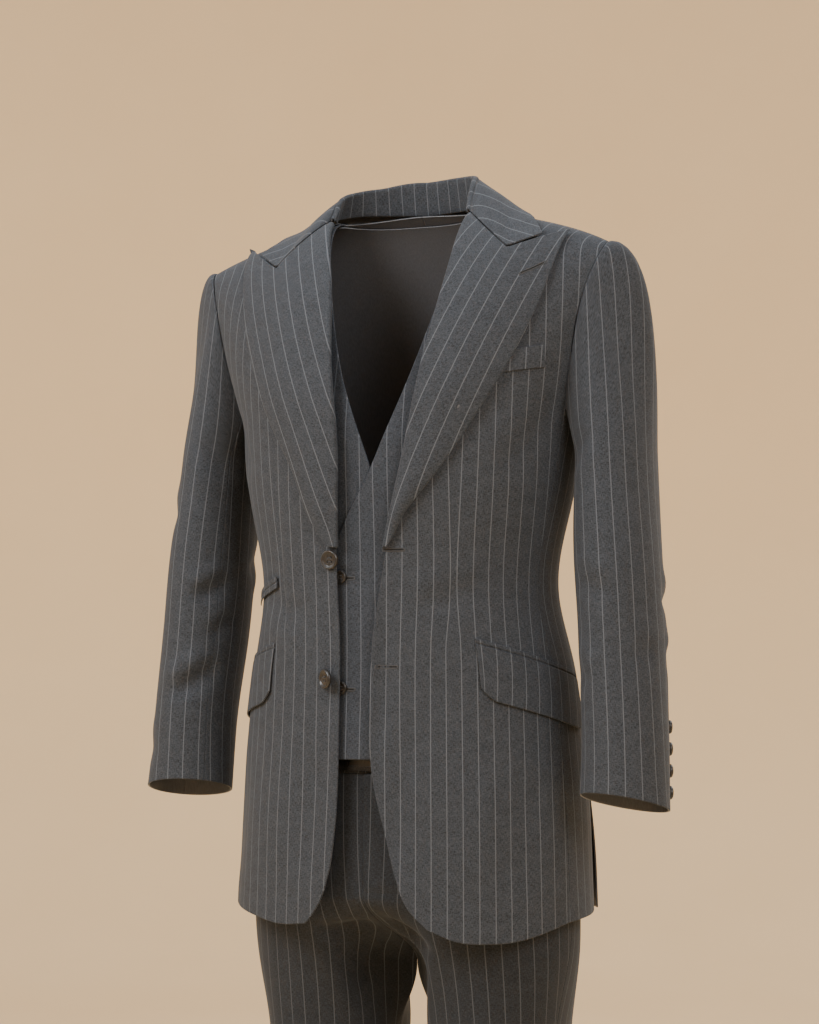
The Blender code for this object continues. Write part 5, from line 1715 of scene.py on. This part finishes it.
def sew_button(node, centre, out, radius, thickness, tilt=0.0):
    horn, thread = turned_button(centre, out, radius, thickness, tilt)
    for name, (points, faces), finish in (("horn_", horn, HORN), ("thread_", thread, THREAD)):
        piece = mesh_piece(name + node, points, faces, [finish])
        face_outward(piece)
        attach(piece, "root")
        if finish is HORN:
            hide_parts(node)


def on_body(body, side, q, z, out, move):
    """Points over a body's front, moved with the creases there, and the directions out of it."""
    spot = lifted(body, side, q, z, out)
    way = (lifted(body, side, q, z, out + 0.01) - spot) / 0.01
    return spot + way * move(spot, 0, 0)[..., None], way


# %% Buttons of the fronts, the waistcoat and the cuffs
# Radius and thickness.
FRONT_BUTTON, VEST_BUTTON, CUFF_BUTTON = (0.0105, 0.0042), (0.007, 0.0034), (0.0072, 0.0034)
BUTTON_TILTS = {"upper": 0.0, "lower": np.radians(26)}
for row, (z, q) in FRONT_BUTTONS.items():
    spot, way = on_body(JACKETS[RIGHT], RIGHT, q, z, RESTING, body_move)
    sew_button(f"jacket_button_{row}", spot, way, *FRONT_BUTTON, BUTTON_TILTS[row])
for row, (z, q) in VEST_BUTTONS.items():
    spot, way = on_body(WAISTCOATS[RIGHT], RIGHT, q, z, VEST_LAP + RESTING, vest_move)
    sew_button(f"waistcoat_button_{row}", spot, way, *VEST_BUTTON)
for side in SIDES:
    sleeve = sleeve_surface(side, BACK_SEAM, FRONT_SEAM)
    for number, share in enumerate(CUFF_BUTTON_SHARES, 1):
        u, v = np.array([[CUFF_BUTTON_U]]), np.array([[share]])
        way = normals(sleeve, u, v, ARMS[side])[0, 0]
        spot = sleeve(u, v)[0, 0] + way * (RESTING + creased("arm", side)(sleeve(u, v), u, v)[0, 0])
        sew_button(f"cuff_button_{number}_{SIDE_NAMES[side]}", spot, way, *CUFF_BUTTON)

# %% [markdown]
# ## Buttonholes
# A buttonhole is a short slit edged with close stitches, so it stands up from the cloth as a thin oval
# welt. The welt is a round profile carried round a long oval; its height goes up and down once a stitch.


# %% Worked buttonholes
HOLE_HALF, SLIT_HALF, STITCH = 0.0007, 0.0008, 0.0009
FRONT_HOLE, VEST_HOLE, LAPEL_HOLE, CUFF_HOLE = 0.023, 0.016, 0.026, 0.014  # lengths


def shade_strip(lay, run, half, eye):
    """Points and faces of a closed flat strip that runs along the cloth both ways: painted shade inside a
    slit.

    Its half width is half, tapered at both ends, and grows by eye near the far end.
    """
    t = np.linspace(0, 1, 41)
    width = half + eye * np.exp(-(((t - 0.96) / 0.05) ** 2))
    width = width * np.sin(np.pi * np.clip(t, 0.02, 0.98)) ** 0.25
    corner = np.array([[-1, -0.0004], [1, -0.0004], [1, 0.00022], [-1, 0.00022]])
    along = (-run + 2 * run * t)[:, None] + 0 * corner[:, 0]
    points, faces = ringed(lay(along, width[:, None] * corner[:, 0], corner[:, 1] + 0 * along))
    last = len(points)
    return points, faces + [[0, 1, 2, 3], [last - 1, last - 2, last - 3, last - 4]]


def worked_hole(name, lay, length, eye=0.0):
    """A buttonhole. lay(along, across, out) gives points on the cloth for lengths in metres.

    The oval's half width is HOLE_HALF, and grows by eye at its far end. Across the welt, the profile is a
    bell 1.4 mm wide and 0.5 mm high. The slit is a near-black strip along the oval's middle: painted shade.
    """
    turns = np.linspace(0, 2 * np.pi, int(length / 0.00025), endpoint=False)
    profile = 0.001 * np.array(
        [[0.05, -0.5], [0.1, 0.1], [0.45, 0.42], [0.85, 0.52], [1.2, 0.38], [1.45, 0.0], [1.4, -0.5]]
    )
    a, p = np.meshgrid(turns, np.arange(len(profile)), indexing="ij")
    beat = 1 + 0.22 * np.sin(a * length * 2 / STITCH)
    wide = HOLE_HALF + eye * np.exp(-((np.cos(a) - 1) ** 2) / 0.02) + profile[p, 0]
    run = length / 2 - 0.0012
    along = run * power(np.cos(a), 0.35) + wide * np.cos(a)
    across = wide * power(np.sin(a), 0.35)
    out = np.where(profile[p, 1] > 0, profile[p, 1] * beat, profile[p, 1])
    index = np.arange(a.size).reshape(a.shape)
    index = np.concatenate([index, index[:1]])
    index = np.concatenate([index, index[:, :1]], axis=1)
    welt = lay(along, across, out).reshape(-1, 3), quads(index)
    slit = shade_strip(lay, run, SLIT_HALF, eye)
    marks = np.repeat([0, 1], [len(welt[1]), len(slit[1])])
    piece = mesh_piece(name, *joined([welt, slit]), [THREAD, SLIT_SHADE], marks)
    face_outward(piece)
    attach(piece, "root")
    return piece


def lay_on_front(body, side, q, z, lap, move, way=1):
    """Lays lengths on a front: along runs level to the body's side (way = 1) or its middle, across up."""

    def lay(along, across, out):
        return on_body(body, side, q + way * along, z + across, out + lap, move)[0]

    return lay


for row, z, q, eye in (("upper", -0.403, 0.0425, 0.0004), ("lower", -0.525, 0.0345, 0.0011)):
    lay = lay_on_front(JACKETS[LEFT], LEFT, q, z, 0.0, body_move, -1)
    worked_hole(f"hole_jacket_{row}", lay, FRONT_HOLE, eye)
for row, z in (("upper", -0.4325), ("lower", -0.5495)):
    lay = lay_on_front(WAISTCOATS[LEFT], LEFT, -0.015, z, VEST_LAP, vest_move)
    worked_hole(f"hole_waistcoat_{row}", lay, VEST_HOLE)


def lay_on_lapel(side, along_lapel, share, turn):
    """Lays lengths on a lapel, round one place on it, turned in its own plane."""
    surface = lapel_surface(side)
    u0, v0 = ROLL_SHARE + (1 - ROLL_SHARE) * share, along_lapel
    step = 0.02
    wide = np.linalg.norm(surface(u0 + step, v0) - surface(u0 - step, v0)) / (2 * step)
    tall = np.linalg.norm(surface(u0, v0 + step) - surface(u0, v0 - step)) / (2 * step)

    def lay(along, across, out):
        u = u0 + (np.cos(turn) * along - np.sin(turn) * across) / wide
        v = v0 + (np.sin(turn) * along + np.cos(turn) * across) / tall
        points = surface(u, v)
        normal = normals(surface, u, v, TRUNK)
        return points + normal * (LAPEL_CLOTH / 2 + out + body_move(points, u, v))[..., None]

    return lay


def lay_on_cuff(side, share):
    """Lays lengths on a sleeve, just in front of a cuff button: along level, across towards the hem."""
    sleeve, move = sleeve_surface(side, BACK_SEAM, FRONT_SEAM), creased("arm", side)

    def lay(along, across, out):
        u = CUFF_BUTTON_U + CUFF_HOLE_AHEAD + along / CUFF_SCALE[0]
        v = share + across / CUFF_SCALE[1]
        points = sleeve(u, v)
        return points + normals(sleeve, u, v, ARMS[side]) * (out + move(points, u, v))[..., None]

    return lay


CUFF_HOLE_AHEAD = 0.035
CUFF_SCALE = 0.19, 0.55  # metres for one unit of a sleeve's u and v, near the cuff
worked_hole("hole_lapel", lay_on_lapel(LEFT, 0.885, 0.82, np.radians(24)), LAPEL_HOLE)
for side in SIDES:
    for number, share in enumerate(CUFF_BUTTON_SHARES, 1):
        name = f"hole_cuff_{number}_{SIDE_NAMES[side]}"
        worked_hole(name, lay_on_cuff(side, share), CUFF_HOLE)

# %% [markdown]
# ## The studio
# A pale floor that curves up into a round wall has no corner to cast a line, and it looks the same from
# every side. One large soft light stands to the suit's right front, two others fill from both sides, one
# looks down from above, and one from behind lights the cloth's edges.


# %% Floor and wall
def studio_shell(floor_z, radius, curve, height):
    """The floor's profile turned round: level out to the curve, a quarter circle, then upright."""
    bend = np.linspace(0, np.pi / 2, 14)
    r = np.concatenate([[0.001, 1.5, 3.0], radius - curve + curve * np.sin(bend), [radius]])
    z = np.concatenate([[0, 0, 0], curve * (1 - np.cos(bend)), [height]]) + floor_z
    turn = np.linspace(0, 2 * np.pi, 96, endpoint=False)
    points = np.stack([r[:, None] * np.cos(turn), r[:, None] * np.sin(turn), z[:, None] + 0 * turn], axis=-1)
    return ringed(points)


PAPER = spotted(
    "pale studio paper",
    (0.87, 0.67, 0.42),
    (0.89, 0.69, 0.44),
    3.0,
    {"Roughness": 0.9, "Specular IOR Level": 0.1},
    0.0002,
)
floor = mesh_piece("studio_floor", *studio_shell(LEG_HEM_Z - 0.012, 6.0, 1.6, 5.5), [PAPER])
floor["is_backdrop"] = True


# %% Lights
def soft_light(name, spot, target, size, watts, colour=(1.0, 1.0, 1.0)):
    lamp = bpy.data.lights.new(name, "AREA")
    lamp.shape = "SQUARE"
    lamp.size = size
    lamp.energy = watts
    lamp.color = colour
    made = bpy.data.objects.new(name, lamp)
    made.location = spot
    made.rotation_euler = (Vector(target) - Vector(spot)).to_track_quat("-Z", "Y").to_euler()
    bpy.context.scene.collection.objects.link(made)


COOL = (0.95, 0.98, 1.0)
soft_light("main_light", (-1.0, -2.1, 1.4), (0.0, 0.0, -0.05), 1.3, 96.0, COOL)
soft_light("left_fill_light", (2.6, -1.7, 1.1), (0.0, 0.0, -0.1), 1.6, 92.0, COOL)
soft_light("right_fill_light", (-2.8, -1.7, 1.0), (0.0, 0.0, -0.1), 1.6, 62.0, COOL)
soft_light("top_light", (0.3, 0.6, 3.0), (0.0, 0.0, -0.4), 2.4, 90.0)
soft_light("back_light", (1.2, 3.6, 1.8), (0.0, 0.0, -0.6), 2.0, 70.0)
world = bpy.data.worlds.new("studio air")
world.use_nodes = True
world.node_tree.nodes["Background"].inputs["Color"].default_value = (0.89, 0.95, 1.0, 1)
world.node_tree.nodes["Background"].inputs["Strength"].default_value = 0.52
bpy.context.scene.world = world

# %% [markdown]
# ## The camera
# The camera stands where the photograph was taken from: 27 degrees to the suit's left of its front, about
# three metres away, level with the waist, with a long lens and turned up a little.

# %% Camera
PHOTO_SIZE = (819, 1024)
TURN = np.radians(27.0)
FAR, CAMERA_Z = 3.07, -0.445
FOCAL_PX = 2840.0
AXIS_PX, HORIZON_PX = 403.0, 590.0
forward = np.array([-np.sin(TURN), np.cos(TURN), 0.0])
aside = np.array([np.cos(TURN), np.sin(TURN), 0.0])
look = forward + aside * (PHOTO_SIZE[0] / 2 - AXIS_PX) / FOCAL_PX
look = look + np.array([0, 0, 1.0]) * (HORIZON_PX - PHOTO_SIZE[1] / 2) / FOCAL_PX
lens = bpy.data.cameras.new("camera")
lens.sensor_width = 36.0
lens.lens = FOCAL_PX * 36.0 / PHOTO_SIZE[1]
camera = bpy.data.objects.new("camera", lens)
camera.location = (*(-forward[:2] * FAR), CAMERA_Z)
camera.rotation_euler = Vector(look).to_track_quat("-Z", "Y").to_euler()
bpy.context.scene.collection.objects.link(camera)
bpy.context.scene.camera = camera

# %% [markdown]
# ## Triangle count
# The scene is updated and the triangles of the shown pieces are counted.

# %% Triangles shown
bpy.context.view_layer.update()
triangles = sum(len(p.vertices) - 2 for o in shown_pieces() if o.type == "MESH" for p in o.data.polygons)
print("triangles shown:", triangles)
